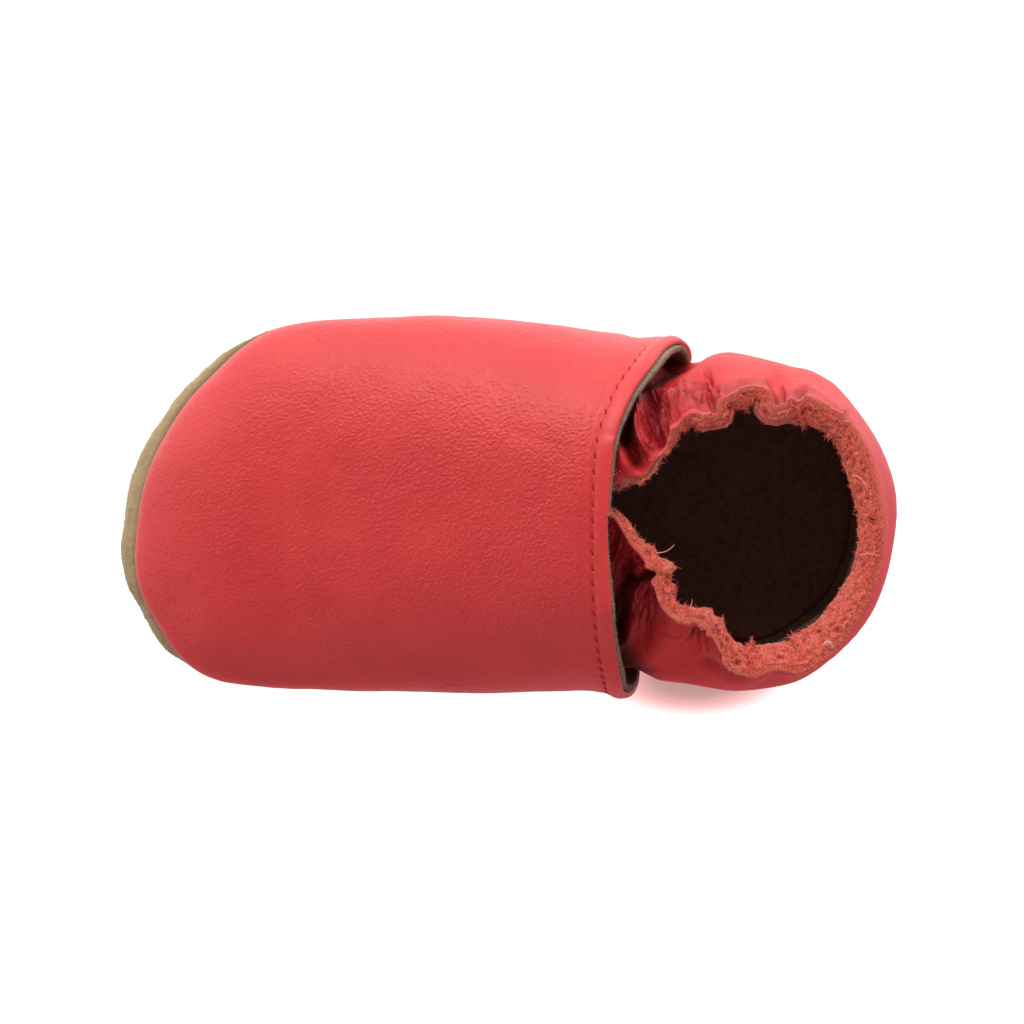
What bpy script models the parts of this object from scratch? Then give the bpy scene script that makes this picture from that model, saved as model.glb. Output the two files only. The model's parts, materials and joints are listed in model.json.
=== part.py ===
"""Baby crawling shoe, right foot: soft leather vamp, gathered back piece and suede sole.

The toe points to -Y, the big toe's side (medial) is +X and the shoe stands on Z = 0.
Sizes are in millimetres and become metres where a mesh is made. Everything is worked out
from one last: its sections give the plan outline, the seam and the rim of the sole, its
crest gives the top line, and the collar table gives the gathered edge, fold by fold.
"""
import bpy
import bmesh
import math
import numpy as np
from collections import namedtuple

MM = 0.001

# Driving sizes
LAST_TOE_Y = -60.3
LAST_HEEL_Y = 66.1
SOLE_THICKNESS = 2.0
INSOLE_THICKNESS = 1.8
VAMP_WALL = 2.0
BACK_WALL = 1.2
CASING_WALL = 1.1
CASING_DEPTH = 10.0
GAP = 0.3
VAMP_STAND = 2.6        # the vamp's outer face stands this far off the last
TUCK_TURN = math.radians(65.0)   # how far the wall turns in between its bulge and the seam

# Toe and heel spring: the sole leaves the floor beyond these lines
TOE_BREAK_Y = -43.0
TOE_SPRING = 3.2
TOE_SPRING_RUN = 22.0
HEEL_BREAK_Y = 55.0
HEEL_SPRING = 0.8
HEEL_SPRING_RUN = 11.0

# One row for each section of the last, from toe to heel. lateral and medial are the X of
# the widest line, seam_in is how far the seam lies inside it, rim_out and rim_z place the
# edge of the sole, which stands beyond the seam.
Section = namedtuple("Section", "name y lateral medial seam_in seam_z bulge_z rim_out rim_z")
LAST = [
    Section("toe_tip", -60.3, 9.0, 9.0, 0.7, 9.2, 15.0, 3.9, 6.0),
    Section("toe", -57.5, -6.4, 17.8, 0.7, 8.8, 15.0, 3.7, 5.8),
    Section("toes", -50.0, -18.3, 25.4, 1.0, 7.6, 14.6, 3.1, 5.0),
    Section("toe_box", -39.5, -27.3, 28.1, 2.2, 5.4, 14.4, 2.0, 3.4),
    Section("ball", -25.0, -29.5, 28.7, 4.0, 4.2, 14.6, 1.0, 2.5),
    Section("waist", -3.0, -29.5, 29.2, 4.8, 3.7, 15.0, 0.9, 2.2),
    Section("throat", 18.4, -27.0, 28.7, 4.8, 3.7, 16.0, 0.9, 2.2),
    Section("side", 30.0, -25.7, 30.0, 4.6, 3.8, 16.6, 0.9, 2.2),
    Section("ankle", 39.0, -26.2, 30.8, 4.5, 4.0, 17.0, 0.9, 2.3),
    Section("quarter", 47.5, -23.9, 29.8, 4.4, 4.2, 17.3, 0.9, 2.4),
    Section("heel_side", 55.0, -21.6, 25.3, 4.2, 4.5, 17.6, 0.9, 2.5),
    Section("heel_curve", 60.5, -15.2, 20.1, 4.0, 4.9, 17.8, 0.9, 2.8),
    Section("heel_back", 64.5, -7.8, 11.8, 4.0, 5.2, 18.0, 0.9, 3.0),
    Section("heel_tip", 66.1, 1.1, 1.1, 4.0, 5.3, 18.0, 0.9, 3.1),
]

# The top line of the last, and the places on either side whose sections meet on it. The
# first row is the centre of the toe, where the sections fan out round the nose.
Crest = namedtuple("Crest", "name y x z lateral_y medial_y")
CREST = [
    Crest("toe_centre", -37.0, 1.0, 26.3, -44.0, -44.0),
    Crest("toes", -31.0, 0.6, 27.9, -34.0, -33.5),
    Crest("ball", -18.0, 0.0, 31.6, -19.0, -18.5),
    Crest("waist", -3.0, -0.4, 36.0, -2.5, -3.0),
    Crest("instep", 9.0, -0.6, 39.7, 15.0, 11.6),
    Crest("throat", 17.4, -0.8, 41.4, 30.6, 22.4),
]
TOE_FALL = 0.15         # slope of the top line in front of the toe centre
EDGE_CURVE_LATERAL = 3.0
EDGE_CURVE_MEDIAL = 4.0
EDGE_CURVE_FROM_Y = -20.0
EDGE_CURVE_TO_Y = 5.0
DOME_POWER = 2.6        # 2 makes every section an ellipse, more makes it squarer

# Where the vamp covers them, the lower edges of the back piece's wings lie further in, and
# a part of that higher. Towards its rear edge the vamp stands off instead.
WING_UNDER = 1.9
WING_LIFT = 0.35

# The rear corners of the vamp turn outwards, most of all between the two middle heights
LIP_RUN = 8.0
LIP_LATERAL = 0.6
LIP_MEDIAL = 1.0
LIP_HEIGHTS = (5.0, 14.0, 20.0, 33.0)

# The collar's top edge, fold by fold, from the lateral front end round the heel. foot_y is
# where the section that ends in this fold starts on the widest line of the last.
Fold = namedtuple("Fold", "name side foot_y x y z")
COLLAR = [
    Fold("lateral_tuck", "lateral", 4.0, -4.6, 9.5, 37.6),
    Fold("lateral_throat", "lateral", 11.0, -5.6, 17.6, 39.4),
    Fold("lateral_flap_front", "lateral", 14.0, -6.6, 19.8, 39.9),
    Fold("lateral_flap", "lateral", 17.0, -7.2, 22.3, 40.6),
    Fold("lateral_gather_1", "lateral", 19.5, -10.0, 24.7, 41.2),
    Fold("lateral_gather_2", "lateral", 22.5, -13.6, 26.8, 41.6),
    Fold("lateral_lobe_1_rise", "lateral", 26.5, -16.8, 29.1, 42.0),
    Fold("lateral_lobe_1", "lateral", 29.0, -17.5, 31.4, 42.2),
    Fold("lateral_valley_1", "lateral", 32.0, -17.5, 33.6, 42.4),
    Fold("lateral_lobe_2_rise", "lateral", 34.5, -19.9, 35.3, 42.6),
    Fold("lateral_lobe_2", "lateral", 38.5, -22.0, 39.0, 43.0),
    Fold("lateral_lobe_2_fall", "lateral", 42.5, -21.1, 42.8, 43.2),
    Fold("lateral_valley_2", "lateral", 45.0, -19.1, 44.6, 43.4),
    Fold("lateral_lobe_3_rise", "lateral", 47.0, -20.1, 46.6, 43.7),
    Fold("lateral_lobe_3", "lateral", 50.5, -20.5, 49.4, 44.1),
    Fold("lateral_lobe_3_fall", "lateral", 54.0, -19.0, 52.6, 44.6),
    Fold("lateral_quarter", "lateral", 58.0, -16.5, 55.9, 45.0),
    Fold("lateral_back", "lateral", 62.0, -13.1, 58.5, 45.4),
    Fold("lateral_heel", "lateral", 64.8, -7.6, 60.4, 45.7),
    Fold("heel", "medial", 66.1, 0.5, 61.7, 46.0),
    Fold("medial_heel", "medial", 65.2, 8.0, 61.2, 45.8),
    Fold("medial_back", "medial", 63.2, 13.5, 59.3, 45.5),
    Fold("medial_quarter", "medial", 58.8, 19.1, 55.9, 45.1),
    Fold("medial_lobe_3_rise", "medial", 54.0, 23.1, 52.1, 44.6),
    Fold("medial_lobe_3", "medial", 49.5, 25.2, 48.4, 44.0),
    Fold("medial_valley_2", "medial", 45.0, 24.8, 44.6, 43.5),
    Fold("medial_lobe_2", "medial", 39.8, 26.2, 39.8, 43.0),
    Fold("medial_lobe_2_fall", "medial", 37.0, 24.9, 36.8, 42.7),
    Fold("medial_step", "medial", 34.5, 21.5, 34.8, 42.5),
    Fold("medial_step_foot", "medial", 32.0, 18.9, 33.2, 42.4),
    Fold("medial_valley_1", "medial", 30.5, 17.1, 31.6, 42.2),
    Fold("medial_lobe_1", "medial", 28.0, 17.3, 29.6, 42.0),
    Fold("medial_lobe_1_fall", "medial", 25.0, 15.2, 26.2, 41.5),
    Fold("medial_gather", "medial", 21.5, 11.8, 24.6, 41.1),
    Fold("medial_gather_step", "medial", 18.5, 8.2, 23.8, 40.9),
    Fold("medial_flap", "medial", 14.5, 4.2, 20.6, 40.2),
    Fold("medial_throat", "medial", 10.0, -0.3, 17.6, 39.4),
    Fold("medial_tuck", "medial", 4.0, -1.8, 9.5, 37.6),
]

# The sole's seam lies under the vamp's wall in front, and under the back piece's behind
SEAM_FROM_Y = 8.0
SEAM_TO_Y = 34.0

# Section of the sole's edge: how far the flat underside ends inside the seam, where the
# turned-up edge leaves it, how full it is half way up and near the top, and the width and
# slope of the seat inside
FLAT_IN = 1.4
FLAT_IN_OF_RIM = 0.9
TURN_IN = 0.3
TURN_FULL = 0.55
TURN_HEIGHT = 0.35
RIM_FULL = 0.85
RIM_HEIGHT = 0.6
SEAT_SLOPE_IN = 0.5
SEAT_SLOPE_HEIGHT = 0.4
SEAT_IN = 1.4

# Section of the insole pad: insets and heights, as parts of its thickness, from below
INSOLE_SECTION = ((-1.0, 0.0), (0.0, 0.35), (0.0, 0.7), (-0.6, 1.0))

# Lengths of the curve handles that carry each back section from bulge to collar. In front,
# under the vamp, the section rounds over like the last; behind, it stands up to the edge.
FRONT_RISE = 11.0
FRONT_REACH = 13.4
BACK_RISE = 12.0
BACK_DROP = 12.0
BACK_LEAN = 1.2
# Each section's stand, from the front's to the back's, is eased between these places.
STAND_LATERAL_FROM_Y = 10.0
STAND_LATERAL_TO_Y = 34.0
STAND_MEDIAL_FROM_Y = -2.0
STAND_MEDIAL_TO_Y = 24.0

# How finely each form is cut
VAMP_ROWS = 16
VAMP_FAN = 16
VAMP_TUCK_STEPS = 3
VAMP_DOME_STEPS = 9
BACK_COLUMNS = 84
BACK_TUCK_STEPS = 3
BACK_WALL_STEPS = 9
SOLE_COLUMNS = 88

# Colour, roughness of each leather
RED_LEATHER = ((0.62, 0.06, 0.065), 0.5)
RED_SUEDE = ((0.55, 0.12, 0.09), 0.9)
TAN_SUEDE = ((0.44, 0.33, 0.20), 0.95)
BROWN_SUEDE = ((0.10, 0.07, 0.055), 0.95)


def spline(knots, values, at):
    """Cubic through the knots, whose slope at each knot is that of its neighbours."""
    knots = np.asarray(knots, float)
    values = np.asarray(values, float)
    at = np.asarray(at, float)
    slopes = np.gradient(values, knots, axis=0)
    cell = np.clip(np.searchsorted(knots, at, side="right") - 1, 0, len(knots) - 2)
    run = knots[cell + 1] - knots[cell]
    part = np.clip((at - knots[cell]) / run, 0.0, 1.0)
    if values.ndim > 1:
        run = run[..., None]
        part = part[..., None]
    start = (2 * part ** 3 - 3 * part ** 2 + 1) * values[cell]
    start_slope = (part ** 3 - 2 * part ** 2 + part) * run * slopes[cell]
    end = (3 * part ** 2 - 2 * part ** 3) * values[cell + 1]
    end_slope = (part ** 3 - part ** 2) * run * slopes[cell + 1]
    return start + start_slope + end + end_slope


def smooth_step(low, high, value):
    """0 below low, 1 above high, eased between."""
    part = np.clip((np.asarray(value, float) - low) / (high - low), 0.0, 1.0)
    return part * part * (3 - 2 * part)


def turn_at(y, side):
    """Angle round the last: 0 at the toe, 90 on the lateral side, -90 on the medial."""
    middle = (LAST_TOE_Y + LAST_HEEL_Y) / 2
    half = (LAST_HEEL_Y - LAST_TOE_Y) / 2
    turn = np.degrees(np.arccos(np.clip((middle - np.asarray(y, float)) / half, -1.0, 1.0)))
    return turn if side == "lateral" else -turn


def outline(turn, out=0.0):
    """Plan point on the widest line of the last at an angle, moved outwards."""
    turn = np.asarray(turn, float)
    inner = LAST[1:-1]
    lateral = [(turn_at(row.y, "lateral"), row.lateral) for row in inner]
    medial = [(turn_at(row.y, "medial"), row.medial) for row in inner]
    ring = lateral + medial + [(0.0, LAST[0].lateral), (180.0, LAST[-1].lateral)]
    ring = sorted((angle % 360.0, x) for angle, x in ring)
    angles = np.array([angle for angle, x in ring])
    places = np.array([x for angle, x in ring])
    angles = np.concatenate([angles - 360.0, angles, angles + 360.0])
    places = np.tile(places, 3)
    middle = (LAST_TOE_Y + LAST_HEEL_Y) / 2
    half = (LAST_HEEL_Y - LAST_TOE_Y) / 2

    def point(angle):
        x = spline(angles, places, np.mod(angle, 360.0))
        y = middle - half * np.cos(np.radians(angle))
        return np.stack([x, y], -1)

    along = point(turn + 0.5) - point(turn - 0.5)
    along /= np.linalg.norm(along, axis=-1, keepdims=True)
    outwards = np.stack([-along[..., 1], along[..., 0]], -1)
    return point(turn) + outwards * np.asarray(out, float)[..., None]


def of_last(column, y):
    """One column of the last's table at any y."""
    return spline([row.y for row in LAST], [getattr(row, column) for row in LAST], y)


def spring(y):
    """Height of the sole's underside over the floor."""
    toe = np.clip(TOE_BREAK_Y - y, 0.0, None) / TOE_SPRING_RUN
    heel = np.clip(y - HEEL_BREAK_Y, 0.0, None) / HEEL_SPRING_RUN
    return TOE_SPRING * toe ** 2 + HEEL_SPRING * heel ** 2


def top_line(y):
    """X and Z of the last's crest; in front of the toe centre it runs down straight."""
    ys = [row.y for row in CREST]
    place = spline(ys, [(row.x, row.z) for row in CREST], np.clip(y, ys[0], ys[-1]))
    ahead = np.clip(ys[0] - y, 0.0, None)
    behind = np.clip(y - ys[-1], 0.0, None)
    slope = (CREST[-1].z - CREST[-2].z) / (ys[-1] - ys[-2])
    place[..., 1] += slope * behind - TOE_FALL * ahead
    return place


def covered(turn):
    """1 where the vamp covers the back piece's wings, easing to 0 at the vamp's rear edge."""
    y = outline(turn)[..., 1]
    side = np.mod(turn, 360.0) < 180.0
    rear_y = np.where(side, CREST[-1].lateral_y, CREST[-1].medial_y)
    return 1 - smooth_step(rear_y - LIP_RUN, rear_y, y)


def tuck(turn, stand, under, steps):
    """Rows of the wall from the seam up to just below the widest line.

    under moves the edge further in than the seam, where another piece covers it.
    """
    y = outline(turn)[..., 1]
    rows = []
    for step in range(steps):
        angle = TUCK_TURN * (1.0 - step / steps)
        seam_in = of_last("seam_in", y) + under
        inward = seam_in * (1 - math.cos(angle)) / (1 - math.cos(TUCK_TURN))
        low = of_last("seam_z", y) + GAP + WING_LIFT * np.clip(under, 0.0, None)
        high = of_last("bulge_z", y)
        z = high - (high - low) * math.sin(angle) / math.sin(TUCK_TURN)
        plan = outline(turn, stand - inward)
        rows.append(np.concatenate([plan, z[..., None]], -1))
    return rows


def vamp_dome(turn, crest_y, curve, steps):
    """Rows of the vamp from the widest line over to the crest."""
    foot = outline(turn, np.full(np.shape(turn), VAMP_STAND))
    low = of_last("bulge_z", foot[..., 1])
    crest_x = top_line(crest_y)[..., 0]
    rows = []
    for step in range(steps + 1):
        angle = math.pi / 2 * step / steps
        side = 1.0 if step == 0 else math.cos(angle)
        side = 0.0 if step == steps else side
        x = crest_x + (foot[..., 0] - crest_x) * side
        y = crest_y + (foot[..., 1] - crest_y) * side ** curve
        high = top_line(y)[..., 1] + VAMP_STAND
        z = low + (high - low) * (1 - side ** DOME_POWER) ** 0.5
        rows.append(np.stack([x, y, z], -1))
    return rows


def vamp_sheet():
    """Outer face of the vamp: its columns run from seam to crest, round the toe."""
    stations = np.linspace(CREST[-1].y, CREST[0].y, VAMP_ROWS + 1)
    crest_ys = [row.y for row in CREST]
    lateral_feet = spline(crest_ys, [row.lateral_y for row in CREST], stations)
    medial_feet = spline(crest_ys, [row.medial_y for row in CREST], stations)
    lateral = turn_at(lateral_feet, "lateral")
    medial = turn_at(medial_feet, "medial")
    fan = np.linspace(lateral[-1], medial[-1], VAMP_FAN + 1)[1:-1]
    turn = np.concatenate([lateral, fan, medial[::-1]])
    crest_y = np.concatenate([stations, np.full(len(fan), CREST[0].y), stations[::-1]])
    rear = smooth_step(EDGE_CURVE_FROM_Y, EDGE_CURVE_TO_Y, crest_y)
    lateral_side = turn > 0
    curve = 1 + rear * (np.where(lateral_side, EDGE_CURVE_LATERAL, EDGE_CURVE_MEDIAL) - 1)
    rows = tuck(turn, VAMP_STAND, WING_UNDER * (covered(turn) - 1), VAMP_TUCK_STEPS)
    rows += vamp_dome(turn, crest_y, curve, VAMP_DOME_STEPS)
    grid = np.array(rows)
    lip = np.where(lateral_side, LIP_LATERAL, LIP_MEDIAL) * (1 - covered(turn))
    height = grid[..., 2]
    rise_from, rise_to, fall_from, fall_to = LIP_HEIGHTS
    band = smooth_step(rise_from, rise_to, height) * (1 - smooth_step(fall_from, fall_to, height))
    grid[..., 0] += np.sign(grid[..., 0]) * lip * band
    return grid


def collar_line(columns):
    """Feet on the last and points of the collar edge, evenly along the fold table."""
    feet = []
    for fold in COLLAR:
        feet.append(float(turn_at(fold.foot_y, fold.side)) % 360.0)
    edge = np.array([(fold.x, fold.y, fold.z) for fold in COLLAR])
    steps = np.linalg.norm(np.diff(edge, axis=0), axis=1)
    length = np.concatenate([[0.0], np.cumsum(steps)])
    at = np.linspace(0.0, length[-1], columns + 1)
    return spline(length, feet, at), spline(length, edge, at)


def back_sheet():
    """Outer face of the back piece: its columns run from seam up to the collar edge."""
    turn, edge = collar_line(BACK_COLUMNS)
    foot = outline(turn)
    rows = tuck(turn, 0.0, WING_UNDER * covered(turn), BACK_TUCK_STEPS)
    low = np.concatenate([foot, of_last("bulge_z", foot[:, 1])[:, None]], 1)
    lateral = smooth_step(STAND_LATERAL_FROM_Y, STAND_LATERAL_TO_Y, foot[:, 1])
    medial = smooth_step(STAND_MEDIAL_FROM_Y, STAND_MEDIAL_TO_Y, foot[:, 1])
    upright = np.where(np.mod(turn, 360.0) < 180.0, lateral, medial)[:, None]
    outwards = foot - edge[:, :2]
    outwards /= np.linalg.norm(outwards, axis=1, keepdims=True)
    outwards = np.concatenate([outwards, np.zeros((len(foot), 1))], 1)
    up = np.array([0.0, 0.0, 1.0])
    rise = (FRONT_RISE * (1 - upright) + BACK_RISE * upright) * up
    reach = FRONT_REACH * (1 - upright) + BACK_LEAN * upright
    lean = outwards * reach - up * BACK_DROP * upright
    for part in np.linspace(0.0, 1.0, BACK_WALL_STEPS + 1):
        rest = 1 - part
        row = rest ** 3 * low + 3 * rest ** 2 * part * (low + rise)
        row = row + 3 * rest * part ** 2 * (edge + lean) + part ** 3 * edge
        rows.append(row)
    return np.array(rows)


def grid_normals(grid):
    """Unit normals of an open grid of points, pointing away from the foot."""
    down = np.gradient(grid, axis=0)
    along = np.gradient(grid, axis=1)
    normals = np.cross(down, along)
    return normals / np.linalg.norm(normals, axis=-1, keepdims=True)


def casing_sheet():
    """Outer face of the casing: the top of the back piece, moved in by wall and gap."""
    grid = back_sheet()
    inner = grid + grid_normals(grid) * -(BACK_WALL + GAP)
    height = np.linalg.norm(np.diff(grid, axis=0), axis=-1).mean(axis=1)
    below_edge = np.cumsum(height[::-1])[::-1]
    keep = np.concatenate([below_edge <= CASING_DEPTH, [True]])
    return inner[keep]


def sole_rings():
    """Rings of the sole, from its underside out round the rim and in over the top."""
    turn = np.linspace(0.0, 360.0, SOLE_COLUMNS, endpoint=False)
    y = outline(turn)[:, 1]
    seam = VAMP_STAND * (1 - smooth_step(SEAM_FROM_Y, SEAM_TO_Y, y)) - of_last("seam_in", y)
    rim_out = of_last("rim_out", y)
    rim_z = of_last("rim_z", y)
    seam_z = of_last("seam_z", y)
    inner = seam - SOLE_THICKNESS

    def ring(out, bottom, top, part):
        plan = outline(turn, out)
        low = spring(plan[:, 1]) + bottom
        return np.concatenate([plan, (low + part * (top - low))[:, None]], 1)

    return [
        ring(seam - FLAT_IN - FLAT_IN_OF_RIM * rim_out, 0.0, rim_z, 0.0),
        ring(seam - TURN_IN + TURN_FULL * rim_out, 0.0, rim_z, TURN_HEIGHT),
        ring(seam + rim_out, 0.0, rim_z, 1.0),
        ring(seam + RIM_FULL * rim_out, 0.0, rim_z + RIM_HEIGHT * (seam_z - rim_z), 1.0),
        ring(seam, 0.0, seam_z, 1.0),
        ring(inner, 0.0, seam_z, 1.0),
        ring(inner - SEAT_SLOPE_IN, SOLE_THICKNESS, seam_z, SEAT_SLOPE_HEIGHT),
        ring(inner - SEAT_IN, SOLE_THICKNESS, seam_z, 0.0),
    ]


def insole_rings():
    """Rings of the insole pad, lying in the sole and clear of the upper."""
    turn = np.linspace(0.0, 360.0, SOLE_COLUMNS, endpoint=False)
    y = outline(turn)[:, 1]
    inset = -of_last("seam_in", y) - SOLE_THICKNESS - SEAT_IN
    rings = []
    for inward, height in INSOLE_SECTION:
        plan = outline(turn, inset + inward)
        z = spring(plan[:, 1]) + SOLE_THICKNESS + GAP + INSOLE_THICKNESS * height
        rings.append(np.concatenate([plan, z[:, None]], 1))
    return rings


def material(name, look):
    """A plain material for one node."""
    colour, roughness = look
    made = bpy.data.materials.new(name)
    made.use_nodes = True
    shader = made.node_tree.nodes["Principled BSDF"]
    shader.inputs["Base Color"].default_value = (*colour, 1.0)
    shader.inputs["Roughness"].default_value = roughness
    shader.inputs["Metallic"].default_value = 0.0
    return made


def add_object(name, points, faces, look):
    """Weld the points, make one object of them and shade it smooth."""
    mesh = bpy.data.meshes.new(name)
    mesh.from_pydata([tuple(point * MM) for point in points], [], faces)
    form = bmesh.new()
    form.from_mesh(mesh)
    bmesh.ops.remove_doubles(form, verts=form.verts, dist=1e-6)
    bmesh.ops.recalc_face_normals(form, faces=form.faces)
    form.to_mesh(mesh)
    form.free()
    mesh.shade_smooth()
    made = bpy.data.objects.new(name, mesh)
    made.data.materials.append(material(name, look))
    bpy.context.scene.collection.objects.link(made)
    return made


def grid_faces(rows, columns):
    """Quads of a grid of points, stored row by row."""
    faces = []
    for row in range(rows - 1):
        for column in range(columns - 1):
            corner = row * columns + column
            faces.append((corner, corner + 1, corner + columns + 1, corner + columns))
    return faces


def add_shell(name, grid, wall, look):
    """A sheet thickened inwards into a closed hollow solid."""
    rows, columns = grid.shape[:2]
    made = add_object(name, grid.reshape(-1, 3), grid_faces(rows, columns), look)
    shell = made.modifiers.new("wall", "SOLIDIFY")
    shell.thickness = wall * MM
    shell.offset = -1.0
    shell.use_even_offset = False


def add_slab(name, rings, look):
    """A closed solid from rings, whose first and last are filled with strips across."""
    count = len(rings[0])
    faces = []
    for ring in range(len(rings) - 1):
        for index in range(count):
            ahead = (index + 1) % count
            low = ring * count
            faces.append((low + index, low + ahead, low + count + ahead, low + count + index))
    for base in (0, (len(rings) - 1) * count):
        for index in range(count // 2):
            near = (base + index, base + index + 1)
            far = (base + (count - index - 1) % count, base + (count - index) % count)
            strip = [*near, *far]
            faces.append(tuple(dict.fromkeys(strip)))
    add_object(name, np.concatenate(rings), faces, look)


def clear_scene():
    for thing in list(bpy.data.objects):
        bpy.data.objects.remove(thing, do_unlink=True)


def build():
    clear_scene()
    add_slab("outsole", sole_rings(), TAN_SUEDE)
    add_slab("insole", insole_rings(), BROWN_SUEDE)
    add_shell("upper_vamp", vamp_sheet(), VAMP_WALL, RED_LEATHER)
    add_shell("upper_back", back_sheet(), BACK_WALL, RED_LEATHER)
    add_shell("collar_casing", casing_sheet(), CASING_WALL, RED_SUEDE)


build()
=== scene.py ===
"""Looks of the baby crawling shoe: leather, suede, stitches, gathers and nap over the CAD frame.

The toe points to -Y, the big toe's side (medial) is +X and the shoe stands on Z = 0. Sizes
are in millimetres and become metres where a mesh is made. The last, the crest and the
collar are the CAD model's own, cut much finer here; creases, wrinkles, grain, seams and
fibres are added to them.
"""
import bpy
import bmesh
import json
import math
import numpy as np
from collections import namedtuple
from itertools import product
from mathutils import Matrix, Vector

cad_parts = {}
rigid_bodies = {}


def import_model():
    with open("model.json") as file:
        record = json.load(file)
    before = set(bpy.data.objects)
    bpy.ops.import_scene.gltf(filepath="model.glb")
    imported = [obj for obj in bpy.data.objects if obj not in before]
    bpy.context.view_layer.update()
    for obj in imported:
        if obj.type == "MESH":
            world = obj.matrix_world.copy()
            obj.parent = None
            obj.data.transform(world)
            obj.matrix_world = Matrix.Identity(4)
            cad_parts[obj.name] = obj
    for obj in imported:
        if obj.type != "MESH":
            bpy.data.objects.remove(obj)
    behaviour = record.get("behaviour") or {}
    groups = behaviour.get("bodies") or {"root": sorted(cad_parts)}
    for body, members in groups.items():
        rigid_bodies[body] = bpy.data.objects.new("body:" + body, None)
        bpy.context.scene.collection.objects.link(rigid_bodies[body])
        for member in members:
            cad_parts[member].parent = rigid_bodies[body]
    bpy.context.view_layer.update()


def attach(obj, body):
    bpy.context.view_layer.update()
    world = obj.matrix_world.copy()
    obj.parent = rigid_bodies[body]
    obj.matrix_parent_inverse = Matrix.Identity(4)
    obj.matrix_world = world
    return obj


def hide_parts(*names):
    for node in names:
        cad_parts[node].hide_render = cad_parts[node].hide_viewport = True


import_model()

MM = 0.001

# ---------------------------------------------------------------- sizes of the shoe
LAST_TOE_Y = -60.3
LAST_HEEL_Y = 66.1
SOLE_THICKNESS = 2.0
INSOLE_THICKNESS = 1.8
BACK_WALL = 1.2
CASING_WALL = 1.1
CASING_DEPTH = 10.0
GAP = 0.3
VAMP_STAND = 2.6
TUCK_TURN = math.radians(65.0)
TOE_BREAK_Y = -43.0
TOE_SPRING = 3.2
TOE_SPRING_RUN = 22.0
HEEL_BREAK_Y = 55.0
HEEL_SPRING = 0.8
HEEL_SPRING_RUN = 11.0

Section = namedtuple("Section", "name y lateral medial seam_in seam_z bulge_z rim_out rim_z")
LAST = [
    Section("toe_tip", -60.3, 9.0, 9.0, 0.7, 9.2, 15.0, 3.9, 6.0),
    Section("toe", -57.5, -6.4, 17.8, 0.7, 8.8, 15.0, 3.7, 5.8),
    Section("toes", -50.0, -18.3, 25.4, 1.0, 7.6, 14.6, 3.1, 5.0),
    Section("toe_box", -39.5, -27.3, 28.1, 2.2, 5.4, 14.4, 2.0, 3.4),
    Section("ball", -25.0, -29.5, 28.7, 4.0, 4.2, 14.6, 1.0, 2.5),
    Section("waist", -3.0, -29.5, 29.2, 4.8, 3.7, 15.0, 0.9, 2.2),
    Section("throat", 18.4, -27.0, 28.7, 4.8, 3.7, 16.0, 0.9, 2.2),
    Section("side", 30.0, -25.7, 30.0, 4.6, 3.8, 16.6, 0.9, 2.2),
    Section("ankle", 39.0, -26.2, 30.8, 4.5, 4.0, 17.0, 0.9, 2.3),
    Section("quarter", 47.5, -23.9, 29.8, 4.4, 4.2, 17.3, 0.9, 2.4),
    Section("heel_side", 55.0, -21.6, 25.3, 4.2, 4.5, 17.6, 0.9, 2.5),
    Section("heel_curve", 60.5, -15.2, 20.1, 4.0, 4.9, 17.8, 0.9, 2.8),
    Section("heel_back", 64.5, -7.8, 11.8, 4.0, 5.2, 18.0, 0.9, 3.0),
    Section("heel_tip", 66.1, 1.1, 1.1, 4.0, 5.3, 18.0, 0.9, 3.1),
]

Crest = namedtuple("Crest", "name y x z lateral_y medial_y")
CREST = [
    Crest("toe_centre", -37.0, 1.0, 26.3, -44.0, -44.0),
    Crest("toes", -31.0, 0.6, 27.9, -34.0, -33.5),
    Crest("ball", -18.0, 0.0, 31.6, -19.0, -18.5),
    Crest("waist", -3.0, -0.4, 36.0, -2.5, -3.0),
    Crest("instep", 9.0, -0.6, 39.7, 15.0, 11.6),
    Crest("throat", 17.4, -0.8, 41.4, 30.6, 22.4),
]
TOE_FALL = 0.15
EDGE_CURVE_LATERAL = 3.0
EDGE_CURVE_MEDIAL = 4.0
DOME_POWER = 2.6
WING_UNDER = 1.9
WING_LIFT = 0.35
LIP_RUN = 8.0
LIP_LATERAL = 0.6
LIP_MEDIAL = 1.0
FRONT_RISE = 11.0
FRONT_REACH = 13.4
BACK_RISE = 12.0
BACK_DROP = 12.0
BACK_LEAN = 1.2
STAND_LATERAL_FROM_Y = 10.0
STAND_LATERAL_TO_Y = 34.0
STAND_MEDIAL_FROM_Y = -2.0
STAND_MEDIAL_TO_Y = 24.0

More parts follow.
